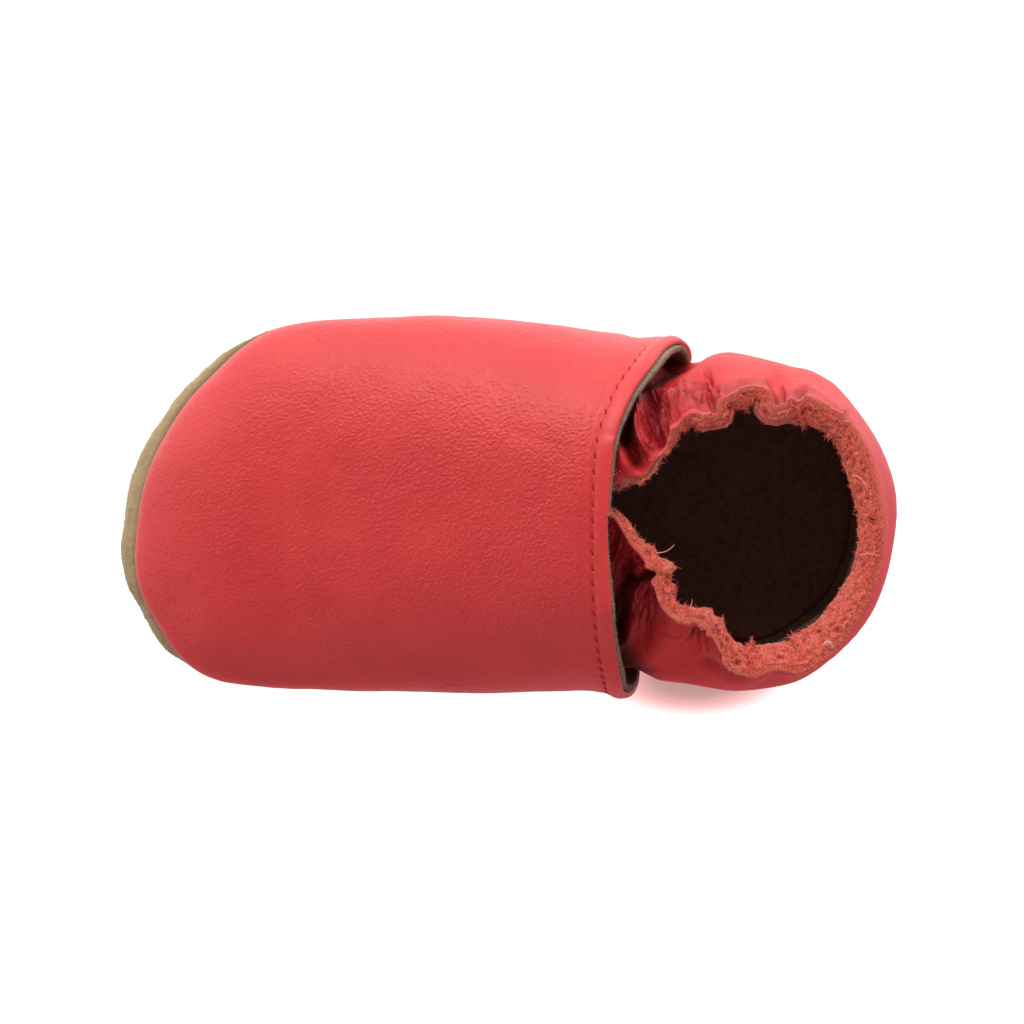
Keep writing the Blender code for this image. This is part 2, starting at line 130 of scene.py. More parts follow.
# The collar, fold by fold. band is how wide the collar looks from above, from the red
# leather's edge to the end of the nap inside; apart is the gap between its two layers.
Fold = namedtuple("Fold", "name foot_y x y z band apart")
COLLAR = [
    Fold("lateral_tuck", 4.0, -4.6, 9.5, 37.6, 1.5, 0.1),
    Fold("lateral_throat", 11.0, -5.6, 17.6, 39.4, 1.5, 0.1),
    Fold("lateral_flap_front", 14.0, -6.6, 19.8, 39.9, 1.4, 0.1),
    Fold("lateral_flap", 17.0, -7.2, 22.3, 40.6, 1.4, 0.1),
    Fold("lateral_gather_1", 19.5, -10.0, 24.7, 41.2, 1.8, 0.1),
    Fold("lateral_gather_2", 22.5, -13.6, 26.8, 41.6, 2.5, 0.1),
    Fold("lateral_lobe_1_rise", 26.5, -16.8, 29.1, 42.0, 2.8, 0.1),
    Fold("lateral_lobe_1", 29.0, -17.5, 31.4, 42.2, 3.6, 0.2),
    Fold("lateral_valley_1", 32.0, -17.5, 33.6, 42.4, 3.6, 0.1),
    Fold("lateral_lobe_2_rise", 34.5, -19.9, 35.3, 42.6, 3.3, 0.3),
    Fold("lateral_lobe_2", 38.5, -22.0, 39.0, 43.0, 4.4, 1.0),
    Fold("lateral_lobe_2_fall", 42.5, -21.1, 42.8, 43.2, 3.5, 0.9),
    Fold("lateral_valley_2", 45.0, -19.1, 44.6, 43.4, 3.9, 0.1),
    Fold("lateral_lobe_3_rise", 47.0, -20.1, 46.6, 43.7, 5.2, 0.6),
    Fold("lateral_lobe_3", 50.5, -20.5, 49.4, 44.1, 5.2, 1.1),
    Fold("lateral_lobe_3_fall", 54.0, -19.0, 52.6, 44.6, 4.8, 0.7),
    Fold("lateral_quarter", 58.0, -16.5, 55.9, 45.0, 4.4, 0.2),
    Fold("lateral_back", 62.0, -13.1, 58.5, 45.4, 4.7, 0.1),
    Fold("lateral_heel", 64.8, -7.6, 60.4, 45.7, 4.7, 0.1),
    Fold("heel", 66.1, 0.5, 61.7, 46.0, 4.3, 0.1),
    Fold("medial_heel", 65.2, 8.0, 61.2, 45.8, 4.5, 0.1),
    Fold("medial_back", 63.2, 13.5, 59.3, 45.5, 5.0, 0.1),
    Fold("medial_quarter", 58.8, 19.1, 55.9, 45.1, 5.5, 0.2),
    Fold("medial_lobe_3_rise", 54.0, 23.1, 52.1, 44.6, 6.0, 0.2),
    Fold("medial_lobe_3", 49.5, 25.2, 48.4, 44.0, 6.4, 0.2),
    Fold("medial_valley_2", 45.0, 24.8, 44.6, 43.5, 4.8, 0.1),
    Fold("medial_lobe_2", 39.8, 26.2, 39.8, 43.0, 5.7, 0.2),
    Fold("medial_lobe_2_fall", 37.0, 24.9, 36.8, 42.7, 6.0, 0.2),
    Fold("medial_step", 34.5, 21.5, 34.8, 42.5, 3.6, 0.1),
    Fold("medial_step_foot", 32.0, 18.9, 33.2, 42.4, 3.3, 0.1),
    Fold("medial_valley_1", 30.5, 17.1, 31.6, 42.2, 3.0, 0.1),
    Fold("medial_lobe_1", 28.0, 17.3, 29.6, 42.0, 3.1, 0.2),
    Fold("medial_lobe_1_fall", 25.0, 15.2, 26.2, 41.5, 2.8, 0.1),
    Fold("medial_gather", 21.5, 11.8, 24.6, 41.1, 3.5, 0.1),
    Fold("medial_gather_step", 18.5, 8.2, 23.8, 40.9, 3.4, 0.1),
    Fold("medial_flap", 14.5, 4.2, 20.6, 40.2, 2.7, 0.1),
    Fold("medial_throat", 10.0, -0.3, 17.6, 39.4, 1.6, 0.1),
    Fold("medial_tuck", 4.0, -1.8, 9.5, 37.6, 1.5, 0.1),
]

# The vamp's throat edge as worn: where it lies at each height, on either side, from the top.
Rim = namedtuple("Rim", "z x y")
RIM = {
    "lateral": [
        Rim(44.0, -0.8, 17.15), Rim(43.3, -9.9, 17.5), Rim(42.1, -14.1, 18.2),
        Rim(40.2, -17.9, 19.6), Rim(37.4, -21.3, 21.3), Rim(33.8, -24.1, 23.4),
        Rim(29.3, -26.3, 25.3), Rim(25.0, -27.8, 26.6), Rim(21.0, -28.5, 28.0),
        Rim(17.0, -28.6, 29.5), Rim(13.0, -27.4, 31.1), Rim(10.0, -26.0, 31.7),
        Rim(6.0, -24.6, 31.7), Rim(3.0, -23.7, 31.5),
    ],
    "medial": [
        Rim(44.0, -0.8, 17.15), Rim(42.6, 12.5, 17.3), Rim(40.9, 17.2, 17.6),
        Rim(38.3, 21.6, 18.1), Rim(34.9, 25.3, 18.7), Rim(30.8, 28.5, 19.2),
        Rim(26.0, 30.6, 19.8), Rim(21.0, 32.0, 20.5), Rim(17.0, 32.4, 21.2),
        Rim(13.0, 32.0, 22.0), Rim(10.0, 31.0, 22.6), Rim(6.0, 29.5, 22.7), Rim(3.0, 28.4, 22.5),
    ],
}

# ---------------------------------------------------------------- how finely it is cut
VAMP_STATIONS = 150         # columns of the vamp on each side of its crest
VAMP_FAN = 210
VAMP_TUCK_STEPS = 26
VAMP_DOME_STEPS = 112
BACK_COLUMNS = 590
BACK_TUCK_STEPS = 18
BACK_WALL_STEPS = 116
WING_COLUMNS = 2.4          # the gathered wings have this many times more columns than the heel
LATERAL_WING = (11.5, 15.0, 31.0, 35.0)      # stops of the wings along the collar
MEDIAL_WING = (131.0, 136.0, 149.0, 153.0)
SOLE_COLUMNS = 480
SOLE_FIBRES = 2600

# ---------------------------------------------------------------- sizes of the details
LEATHER_ROLL = 0.55     # radius of the vamp's turned throat edge
ROLL_STEPS = 9
UNDER_RUN = 4.0         # how far the turned edge goes back under
LINING_WALL = 1.0
LINING_FIBRES = 1700        # along each half of its raw edge
LINING_PROUD = 0.12         # how far the lining stands beyond the rolled edge
LINING_CORNER = 0.55        # and how much further at the lateral corner
LINING_RAGGED = 0.12        # its raw edge wavers by this much
SHIFT_RUN = 11.0            # the edge is drawn forward over this length of the leather
ROLL_HEIGHTS = (12.0, 26.0)     # low down the rolled edge needs no room of its own
CURL_LATERAL = 4.4          # and the rear corners curl in over this length
CURL_MEDIAL = 3.2
HOLLOW_LATERAL = 2.7        # the wings stand this much further in just behind the throat edge
HOLLOW_MEDIAL = 2.4
HOLLOW_CORNER = (-25.5, 28.5)       # and still further by the lateral corner
HOLLOW_CORNER_REACH = 18.0 ** 0.5
HOLLOW_MORE = 1.2
HOLLOW_RUN = 6.5
SHORT_CREASE = 0.55         # narrower creases fade out soon below the collar
CASING_TOP = 0.8            # width of the casing's cut top
CASING_INNER_DEPTHS = (4.0, 2.0, 0.9, 0.3)      # rows on its hidden side, below the top
PIT_SHADE_PLACES = (26.5, 37.6, 49.5, 62.0, 113.0, 121.0)     # the nap is painted darker at these places along the collar, over this run, and over these rows of the casing, as painted shade of deep pits
PIT_SHADE_RUN = 4.2               # places along the collar, over this run
PIT_SHADE_ROWS = (3, 7, 16, 22)   # and over these rows of the casing
PIT_DEPTH = 0.70
TUFT_HEIGHT = 0.36
FLAP_PROUD = 1.2            # on the lateral flap the casing stands this far past the leather
SWELL_DEPTH = 3.2           # the casing reaches furthest in this far below its top
STITCH_IN = 2.3         # the topstitch lies this far from the edge
STITCH_PITCH = 2.65
TIP_HIGHLIGHTS_ABOVE = 41.5       # pale thread tips, a painted highlight, are put only above this height
FLAP_FROM = 8.4         # the seam of the elastic's tunnel shows over this run of the collar
FLAP_TO = 10.6
FLAP_PITCH = 0.62
FLAP_SEAM = 1.3         # and lies this far below its edge
STITCH_FADE_Z = 26.0    # below this the lateral stitches have sunk into the bulging leather
STITCH_FULL_Z = 34.0


def spline(knots, values, at):
    """Cubic through the knots, whose slope at each knot is that of its neighbours."""
    knots = np.asarray(knots, float)
    values = np.asarray(values, float)
    at = np.asarray(at, float)
    slopes = np.gradient(values, knots, axis=0)
    cell = np.clip(np.searchsorted(knots, at, side="right") - 1, 0, len(knots) - 2)
    run = knots[cell + 1] - knots[cell]
    part = np.clip((at - knots[cell]) / run, 0.0, 1.0)
    for _ in range(values.ndim - 1):
        run = run[..., None]
        part = part[..., None]
    start = (2 * part ** 3 - 3 * part ** 2 + 1) * values[cell]
    start_slope = (part ** 3 - 2 * part ** 2 + part) * run * slopes[cell]
    end = (3 * part ** 2 - 2 * part ** 3) * values[cell + 1]
    end_slope = (part ** 3 - part ** 2) * run * slopes[cell + 1]
    return start + start_slope + end + end_slope


MIDDLE_Y = (LAST_TOE_Y + LAST_HEEL_Y) / 2
HALF_Y = (LAST_HEEL_Y - LAST_TOE_Y) / 2


def smooth_step(low, high, value):
    """0 below low, 1 above high, eased between."""
    part = np.clip((np.asarray(value, float) - low) / (high - low), 0.0, 1.0)
    return part * part * (3 - 2 * part)


def fading(low, high, value):
    """1 below low, 0 above high, eased between."""
    return 1 - smooth_step(low, high, value)


def hump(value, centre, width):
    """1 at the centre, falling to 0 like a bell."""
    return np.exp(-((value - centre) / width) ** 2)


def zone(value, stops):
    """0 up to the first stop, 1 between the second and the third, 0 from the last."""
    low, full, fade, end = stops
    return smooth_step(low, full, value) * fading(fade, end, value)


def unit(vectors):
    """The same directions, one long."""
    return vectors / np.maximum(np.linalg.norm(vectors, axis=-1, keepdims=True), 1e-9)


def square_to(vectors, normal):
    """Unit vectors, with what they have along the normals taken out."""
    return unit(vectors - normal * np.sum(vectors * normal, -1, keepdims=True))


def run_length(line):
    """Distance from the start of a line of points to each of them."""
    return np.concatenate([[0.0], np.cumsum(np.linalg.norm(np.diff(line, axis=0), axis=1))])


def along_line(line, length, where):
    """Values on a line at distances along it."""
    return np.stack([np.interp(where, length, line[:, axis]) for axis in range(3)], 1)


def bell(plan, place, reach):
    """1 at a place in plan, falling to 0 all round."""
    return np.exp(-np.sum(((plan - place) / reach) ** 2, -1))


def turn_at(y, side):
    """Angle round the last: 0 at the toe, 90 on the lateral side, -90 on the medial."""
    turn = np.degrees(np.arccos(np.clip((MIDDLE_Y - np.asarray(y, float)) / HALF_Y, -1.0, 1.0)))
    return turn if side == "lateral" else -turn


def outline(turn, out=0.0):
    """Plan point on the widest line of the last at an angle, moved outwards."""
    turn = np.asarray(turn, float)
    ring = [(turn_at(row.y, side), getattr(row, side))
            for side in ("lateral", "medial") for row in LAST[1:-1]]
    ring += [(0.0, LAST[0].lateral), (180.0, LAST[-1].lateral)]
    angles, places = np.array(sorted((angle % 360.0, x) for angle, x in ring)).T
    angles = np.concatenate([angles - 360.0, angles, angles + 360.0])
    places = np.tile(places, 3)

    def point(angle):
        x = spline(angles, places, np.mod(angle, 360.0))
        y = MIDDLE_Y - HALF_Y * np.cos(np.radians(angle))
        return np.stack([x, y], -1)

    along = unit(point(turn + 0.5) - point(turn - 0.5))
    outwards = np.stack([-along[..., 1], along[..., 0]], -1)
    return point(turn) + outwards * np.asarray(out, float)[..., None]


def of_last(column, y):
    """One column of the last's table at any y."""
    return spline([row.y for row in LAST], [getattr(row, column) for row in LAST], y)


def spring(y):
    """Height of the sole's underside over the floor."""
    toe = np.clip(TOE_BREAK_Y - y, 0.0, None) / TOE_SPRING_RUN
    heel = np.clip(y - HEEL_BREAK_Y, 0.0, None) / HEEL_SPRING_RUN
    return TOE_SPRING * toe ** 2 + HEEL_SPRING * heel ** 2


def top_line(y):
    """X and Z of the last's crest; in front of the toe centre it runs down straight."""
    ys = [row.y for row in CREST]
    place = spline(ys, [(row.x, row.z) for row in CREST], np.clip(y, ys[0], ys[-1]))
    ahead = np.clip(ys[0] - y, 0.0, None)
    behind = np.clip(y - ys[-1], 0.0, None)
    slope = (CREST[-1].z - CREST[-2].z) / (ys[-1] - ys[-2])
    place[..., 1] += slope * behind - TOE_FALL * ahead
    return place


def covered(turn):
    """1 where the vamp covers the back piece's wings, easing to 0 at the vamp's rear edge."""
    y = outline(turn)[..., 1]
    side = np.mod(turn, 360.0) < 180.0
    rear_y = np.where(side, CREST[-1].lateral_y, CREST[-1].medial_y)
    return fading(rear_y - LIP_RUN, rear_y, y)


def tuck(turn, stand, under, steps):
    """Rows of the wall from the seam up to just below the widest line."""
    y = outline(turn)[..., 1]
    rows = []
    for step in range(steps):
        angle = TUCK_TURN * (1.0 - step / steps)
        seam_in = of_last("seam_in", y) + under
        inward = seam_in * (1 - math.cos(angle)) / (1 - math.cos(TUCK_TURN))
        low = of_last("seam_z", y) + GAP + WING_LIFT * np.clip(under, 0.0, None)
        high = of_last("bulge_z", y)
        z = high - (high - low) * math.sin(angle) / math.sin(TUCK_TURN)
        plan = outline(turn, stand - inward)
        rows.append(np.concatenate([plan, z[..., None]], -1))
    return rows


def vamp_dome(turn, crest_y, curve, steps):
    """Rows of the vamp from the widest line over to the crest."""
    foot = outline(turn, np.full(np.shape(turn), VAMP_STAND))
    low = of_last("bulge_z", foot[..., 1])
    crest_x = top_line(crest_y)[..., 0]
    rows = []
    for step in range(steps + 1):
        angle = math.pi / 2 * step / steps
        side = 1.0 if step == 0 else math.cos(angle)
        side = 0.0 if step == steps else side
        x = crest_x + (foot[..., 0] - crest_x) * side
        y = crest_y + (foot[..., 1] - crest_y) * side ** curve
        high = top_line(y)[..., 1] + VAMP_STAND
        z = low + (high - low) * (1 - side ** DOME_POWER) ** 0.5
        rows.append(np.stack([x, y, z], -1))
    return rows


def vamp_sheet(stations_count, fan_count, tuck_steps, dome_steps):
    """Outer face of the vamp: its columns run from seam to crest, round the toe."""
    stations = np.linspace(CREST[-1].y, CREST[0].y, stations_count + 1)
    crest_ys = [row.y for row in CREST]
    lateral_feet = spline(crest_ys, [row.lateral_y for row in CREST], stations)
    medial_feet = spline(crest_ys, [row.medial_y for row in CREST], stations)
    lateral = turn_at(lateral_feet, "lateral")
    medial = turn_at(medial_feet, "medial")
    fan = np.linspace(lateral[-1], medial[-1], fan_count + 1)[1:-1]
    turn = np.concatenate([lateral, fan, medial[::-1]])
    crest_y = np.concatenate([stations, np.full(len(fan), CREST[0].y), stations[::-1]])
    rear = smooth_step(-20.0, 5.0, crest_y)
    lateral_side = turn > 0
    curve = 1 + rear * (np.where(lateral_side, EDGE_CURVE_LATERAL, EDGE_CURVE_MEDIAL) - 1)
    rows = tuck(turn, VAMP_STAND, WING_UNDER * (covered(turn) - 1), tuck_steps)
    rows += vamp_dome(turn, crest_y, curve, dome_steps)
    grid = np.array(rows)
    lip = np.where(lateral_side, LIP_LATERAL, LIP_MEDIAL) * (1 - covered(turn))
    height = grid[..., 2]
    band = smooth_step(5.0, 14.0, height) * fading(20.0, 33.0, height)
    grid[..., 0] += np.sign(grid[..., 0]) * lip * band
    return grid


def curled(grid):
    """The vamp drawn to its throat edge, with room for the roll and its rear corners curled in."""
    moved = grid.copy()
    middle = grid.shape[1] // 2
    for side, inwards, curl in (("lateral", slice(None, middle), CURL_LATERAL),
                                ("medial", slice(None, middle, -1), CURL_MEDIAL)):
        rows = RIM[side][::-1]
        heights = [row.z for row in rows]
        half = grid[:, inwards]
        rim = half[:, 0]
        height = np.clip(rim[:, 2], heights[0], heights[-1])
        roll = LEATHER_ROLL * smooth_step(*ROLL_HEIGHTS, height)
        place = spline(heights, [(row.x, row.y) for row in rows], height)
        place[:, 1] -= roll
        steps = np.linalg.norm(np.diff(half, axis=1), axis=-1)
        gap = np.concatenate([np.zeros((len(grid), 1)), np.cumsum(steps, axis=1)], 1)
        for axis, reach, power in ((0, curl, 1.9), (1, SHIFT_RUN, 2)):
            moved[:, inwards, axis] += ((place[:, axis] - rim[:, axis])[:, None]
                                        * np.clip(1 - gap / reach, 0.0, 1.0) ** power)
    return moved


def collar_line(columns):
    """Feet, edge points, band widths and gaps of the collar, and the distance along it."""
    feet = [turn_at(fold.foot_y, "lateral" if "lateral" in fold.name else "medial") % 360.0
            for fold in COLLAR]
    edge = np.array([(fold.x, fold.y, fold.z) for fold in COLLAR])
    length = run_length(edge)
    even = np.linspace(0.0, length[-1], 4000)
    crowd = 1.0 + (WING_COLUMNS - 1.0) * (zone(even, LATERAL_WING) + zone(even, MEDIAL_WING))
    count = np.concatenate([[0.0], np.cumsum((crowd[1:] + crowd[:-1]) / 2)])
    at = np.interp(np.linspace(0.0, count[-1], columns + 1), count, even)
    band = spline(length, [fold.band for fold in COLLAR], at)
    apart = spline(length, [fold.apart for fold in COLLAR], at)
    return spline(length, feet, at), spline(length, edge, at), band, apart, at


def back_sheet(columns, tuck_steps, wall_steps):
    """Outer face of the back piece: its columns run from seam up to the collar edge."""
    turn, edge = collar_line(columns)[:2]
    foot = outline(turn)
    rows = tuck(turn, 0.0, WING_UNDER * covered(turn), tuck_steps)
    low = np.concatenate([foot, of_last("bulge_z", foot[:, 1])[:, None]], 1)
    lateral = smooth_step(STAND_LATERAL_FROM_Y, STAND_LATERAL_TO_Y, foot[:, 1])
    medial = smooth_step(STAND_MEDIAL_FROM_Y, STAND_MEDIAL_TO_Y, foot[:, 1])
    upright = np.where(np.mod(turn, 360.0) < 180.0, lateral, medial)[:, None]
    outwards = np.concatenate([unit(foot - edge[:, :2]), np.zeros((len(foot), 1))], 1)
    up = np.array([0.0, 0.0, 1.0])
    rise = (FRONT_RISE * (1 - upright) + BACK_RISE * upright) * up
    reach = FRONT_REACH * (1 - upright) + BACK_LEAN * upright
    lean = outwards * reach - up * BACK_DROP * upright
    for part in np.linspace(0.0, 1.0, wall_steps + 1):
        rest = 1 - part
        rows.append(rest ** 3 * low + 3 * rest ** 2 * part * (low + rise)
                    + 3 * rest * part ** 2 * (edge + lean) + part ** 3 * edge)
    return np.array(rows)


def grid_normals(grid):
    """Unit normals of an open grid whose columns run from lateral round the heel."""
    down = np.gradient(grid, axis=0)
    along = np.gradient(grid, axis=1)
    return unit(np.cross(down, along))


def vamp_normals(grid):
    """Unit normals of an open grid whose columns run from lateral round the toe."""
    return -grid_normals(grid)


# ---------------------------------------------------------------- fields
def lattice(cell, seed):
    """A fixed scrambled number from -1 to 1 for each cell of a lattice."""
    mixed = cell[..., 0] * 374761393 + cell[..., 1] * 668265263
    mixed = (mixed + cell[..., 2] * 1440662683 + seed * 974634777) & 0xFFFFFFFF
    mixed = ((mixed ^ (mixed >> 13)) * 1274126177) & 0xFFFFFFFF
    mixed = ((mixed ^ (mixed >> 15)) * 668265263) & 0xFFFFFFFF
    mixed = mixed ^ (mixed >> 16)
    return (mixed & 0xFFFF) / 32767.5 - 1.0


def noise(points, size, seed):
    """Smooth random field from about -1 to 1, whose bumps are about size across."""
    at = points / np.asarray(size, float)
    cell = np.floor(at).astype(np.int64)
    part = at - cell
    ease = part ** 3 * (part * (part * 6 - 15) + 10)
    total = np.zeros(points.shape[:-1])
    for corner in product((0, 1), repeat=3):
        place = cell + np.array(corner)
        slope = sum(lattice(place, seed * 3 + axis) * (part[..., axis] - corner[axis])
                    for axis in range(3))
        weight = np.prod(np.where(corner, ease, 1 - ease), axis=-1)
        total += weight * slope
    return total * 1.7


def ridges(points, size, seed):
    """Sharp valleys between soft ridges, from -1 to about 0.6."""
    return 0.6 - 1.6 * np.clip(1 - 2.2 * np.abs(noise(points, size, seed)), 0.0, 1.0)


def to_line(points, line):
    """Distance from each point to a line of points, and how far along it the nearest is."""
    line = np.asarray(line, float)
    best = np.full(points.shape[:-1], 1e9)
    along = np.zeros(points.shape[:-1])
    done = 0.0
    for start, end in zip(line[:-1], line[1:]):
        run = end - start
        length = float(np.linalg.norm(run))
        part = np.clip(((points - start) @ run) / max(length ** 2, 1e-12), 0.0, 1.0)
        near = start + part[..., None] * run
        gap = np.linalg.norm(points - near, axis=-1)
        closer = gap < best
        best = np.where(closer, gap, best)
        along = np.where(closer, done + part * length, along)
        done += length
    return best, along


def crease(distance, width):
    """Section of a crease: a soft groove with a low ridge on either side."""
    return -np.exp(-(distance / width) ** 2) + 0.35 * hump(distance, 1.9 * width, 0.8 * width)


# ---------------------------------------------------------------- making meshes
WELD = 1e-7             # points closer than this become one, in metres
CAPSULE_STOPS = np.array([-1.0, -0.94, -0.75, 0.0, 0.75, 0.94, 1.0])
CAPSULE_GIRTH = np.array([0.05, 0.45, 0.9, 1.0, 0.9, 0.45, 0.05])
FIBRE_STOPS = np.linspace(0.0, 1.0, 5)
FIBRE_GIRTH = np.array([0.8, 1.0, 0.95, 0.75, 0.2])


def store_fields(mesh, fields):
    """Values at the points of a mesh, for its material to read."""
    for field, values in fields.items():
        store = mesh.attributes.new(field, "FLOAT", "POINT")
        store.data.foreach_set("value", np.asarray(values, np.float32).ravel())


def mesh_piece(name, slot, looks, points, faces=None, face_slots=None, fields=(), weld=False,
               closed=False, nodes=()):
    """A mesh of points in millimetres; without faces they are a grid. With a slot it's a piece
    that rides on the one body, and it may stand for CAD nodes."""
    if faces is None:
        faces = grid_faces(*points.shape[:2])
    mesh = bpy.data.meshes.new(name)
    mesh.from_pydata((points.reshape(-1, 3) * MM).tolist(), [],
                     faces.tolist() if isinstance(faces, np.ndarray) else faces)
    for look in looks:
        mesh.materials.append(look)
    if face_slots is not None:
        mesh.polygons.foreach_set("material_index", np.asarray(face_slots, np.int32))
    store_fields(mesh, dict(fields))
    if weld or closed:
        form = bmesh.new()
        form.from_mesh(mesh)
        if weld:
            bmesh.ops.remove_doubles(form, verts=form.verts, dist=WELD)
        if closed:
            bmesh.ops.recalc_face_normals(form, faces=form.faces)
        form.to_mesh(mesh)
        form.free()
    mesh.shade_smooth()
    piece = bpy.data.objects.new(name, mesh)
    bpy.context.scene.collection.objects.link(piece)
    if slot:
        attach(piece, "root")
    if nodes:
        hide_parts(*nodes)
    return piece


def grid_faces(rows, columns, round_columns=False):
    """Quads of a grid of points, rows first, as an array."""
    spans = columns if round_columns else columns - 1
    row = np.arange(rows - 1)[:, None]
    column = np.arange(spans)[None, :]
    ahead = (column + 1) % columns
    low = row * columns
    quads = np.stack([low + column, low + ahead, low + columns + ahead, low + columns + column])
    return quads.reshape(4, -1).T


def tubes(paths, radii, sides=5):
    """Points and faces of many thin tubes; paths is tubes x points x 3."""
    count, steps = paths.shape[:2]
    along = unit(np.gradient(paths, axis=1))
    lead = np.where(np.abs(along[:, :1, 2:3]) > 0.8, np.array([1.0, 0, 0]), np.array([0, 0, 1.0]))
    across = unit(np.cross(along, lead))
    other = np.cross(along, across)
    angles = np.arange(sides) * 2 * math.pi / sides
    ring = (across[:, :, None] * np.cos(angles)[None, None, :, None]
            + other[:, :, None] * np.sin(angles)[None, None, :, None])
    points = paths[:, :, None] + ring * radii[..., None, None]
    low = grid_faces(steps, sides, round_columns=True)
    start = (np.arange(count) * steps * sides)[:, None, None]
    faces = (low[None] + start).reshape(-1, 4)
    return points.reshape(-1, 3), faces.tolist()


def thread_piece(name, slot, look, centres, directions, lengths, radius):
    """Many round-ended threads as one piece."""
    half = (lengths / 2)[:, None, None]
    paths = centres[:, None] + directions[:, None] * CAPSULE_STOPS[None, :, None] * half
    girth = np.broadcast_to(CAPSULE_GIRTH * radius, paths.shape[:2])
    return mesh_piece(name, slot, [look], *tubes(paths, girth, sides=8))


def fibre_piece(name, slot, look, roots, aims, lengths, radius, random, bend=0.5):
    """Many short tapering, bent fibres as one piece."""
    swing = random.normal(0.0, bend, (len(roots), 3))
    lengths = lengths[:, None, None]
    paths = roots[:, None] + aims[:, None] * FIBRE_STOPS[None, :, None] * lengths
    paths = paths + swing[:, None] * (FIBRE_STOPS ** 2)[None, :, None] * lengths * 0.5
    taper = FIBRE_GIRTH[None] * np.broadcast_to(radius, len(roots))[:, None]
    return mesh_piece(name, slot, [look], *tubes(paths, taper, sides=3))


# ---------------------------------------------------------------- materials
def feed(tree, made, inputs):
    """Give a node's inputs, by name or by number, values or other nodes' sockets."""
    for key, value in inputs.items():
        socket = made.inputs[key]
        if isinstance(value, bpy.types.NodeSocket):
            tree.links.new(value, socket)
        elif socket.type == "RGBA":
            socket.default_value = (*value[:3], 1.0)
        else:
            socket.default_value = value
    return made


def node(tree, kind, numbered=(), settings=(), **inputs):
    """A new shader node; its first inputs can be given by number."""
    made = tree.nodes.new(kind)
    for key, value in dict(settings).items():
        setattr(made, key, value)
    return feed(tree, made, {**dict(enumerate(numbered)), **inputs})


def colour_mix(tree, factor, first, second, how="MIX"):
    """Mix of two colours; returns the colour socket."""
    made = node(tree, "ShaderNodeMix", settings={"data_type": "RGBA", "blend_type": how})
    return feed(tree, made, {0: factor, 6: first, 7: second}).outputs[2]


def blend(tree, factor, first, second):
    """Mix of two numbers."""
    return feed(tree, node(tree, "ShaderNodeMix"), {0: factor, 2: first, 3: second}).outputs[0]


def maths(tree, how, first, second=0.0, third=0.0):
    """One sum on numbers or sockets."""
    made = node(tree, "ShaderNodeMath", (first, second, third), {"operation": how})
    return made.outputs[0]


def times(tree, first, second, plus=None):
    """first * second, or first * second + plus."""
    if plus is None:
        return maths(tree, "MULTIPLY", first, second)
    return maths(tree, "MULTIPLY_ADD", first, second, plus)


def rest_of(tree, value):
    """1 - value."""
    return maths(tree, "SUBTRACT", 1.0, value)


def ramp(tree, value, low, high):
    """0 below low, 1 above high."""
    made = node(tree, "ShaderNodeMapRange", settings={"interpolation_type": "SMOOTHSTEP"},
                Value=value)
    return feed(tree, made, {"From Min": low, "From Max": high}).outputs["Result"]


def new_material(name, roughness, sheen=0.0, specular=0.5, sheen_roughness=0.5,
                 sheen_tint=(1.0, 0.8, 0.75)):
    """A material with its tree, its shader and the shoe's own coordinates."""
    made = bpy.data.materials.new(name)
    made.use_nodes = True
    tree = made.node_tree
    shader = tree.nodes["Principled BSDF"]
    feed(tree, shader, {"Roughness": roughness, "Specular IOR Level": specular})
    if sheen:
        feed(tree, shader, {"Sheen Weight": sheen, "Sheen Roughness": sheen_roughness,
                            "Sheen Tint": sheen_tint})
    place = tree.nodes.new("ShaderNodeTexCoord").outputs["Object"]
    return made, tree, shader, place


def spots(tree, place, per_mm, detail=2.0, roughness=0.5):
    """Noise whose spots are 1 / per_mm millimetres across."""
    made = node(tree, "ShaderNodeTexNoise", Vector=place, Scale=per_mm / MM,
                Detail=detail, Roughness=roughness)
    return made.outputs["Fac"]


def attribute(tree, name):
    """A field stored at the points of the mesh."""
    made = tree.nodes.new("ShaderNodeAttribute")
    made.attribute_name = name
    return made.outputs["Fac"]


def bumped(tree, shader, height, depth_mm):
    """Relief from a height field of 0 to 1, depth_mm deep."""
    made = node(tree, "ShaderNodeBump", Height=height, Strength=1.0, Distance=depth_mm * MM)
    feed(tree, shader, {"Normal": made.outputs["Normal"]})


# Plain, pale and deep colours of the leathers and the suedes.
RED = (0.66, 0.030, 0.034)
RED_WARM = (0.71, 0.038, 0.038)
RED_DEEP = (0.23, 0.002, 0.005)
# The next colour is painted shade: near black, for the hollows under the throat edge.
RED_SHADE_BLACK = (0.045, 0.001, 0.001)
CORAL = (0.97, 0.155, 0.095)
CORAL_PALE = (0.92, 0.30, 0.21)
CORAL_DEEP = (0.58, 0.033, 0.021)
TAN = (0.41, 0.325, 0.172)
TAN_PALE = (0.53, 0.42, 0.26)
TAN_DEEP = (0.17, 0.115, 0.055)
TAUPE = (0.33, 0.215, 0.140)
TAUPE_PALE = (0.46, 0.34, 0.24)
TAUPE_DEEP = (0.11, 0.060, 0.040)
BROWN = (0.15, 0.084, 0.056)
BROWN_PALE = (0.20, 0.118, 0.080)
WHITE = (1.0, 1.0, 1.0)

GRAIN_CENTRE = (-8.0, 0.0)          # the grain is strongest here
GRAIN_REACH = (20.0, 24.0)
GRAIN_SLANT = math.radians(24.0)    # the pebbles are longer at this angle to the shoe's length
GRAIN_STRETCH = 1.35
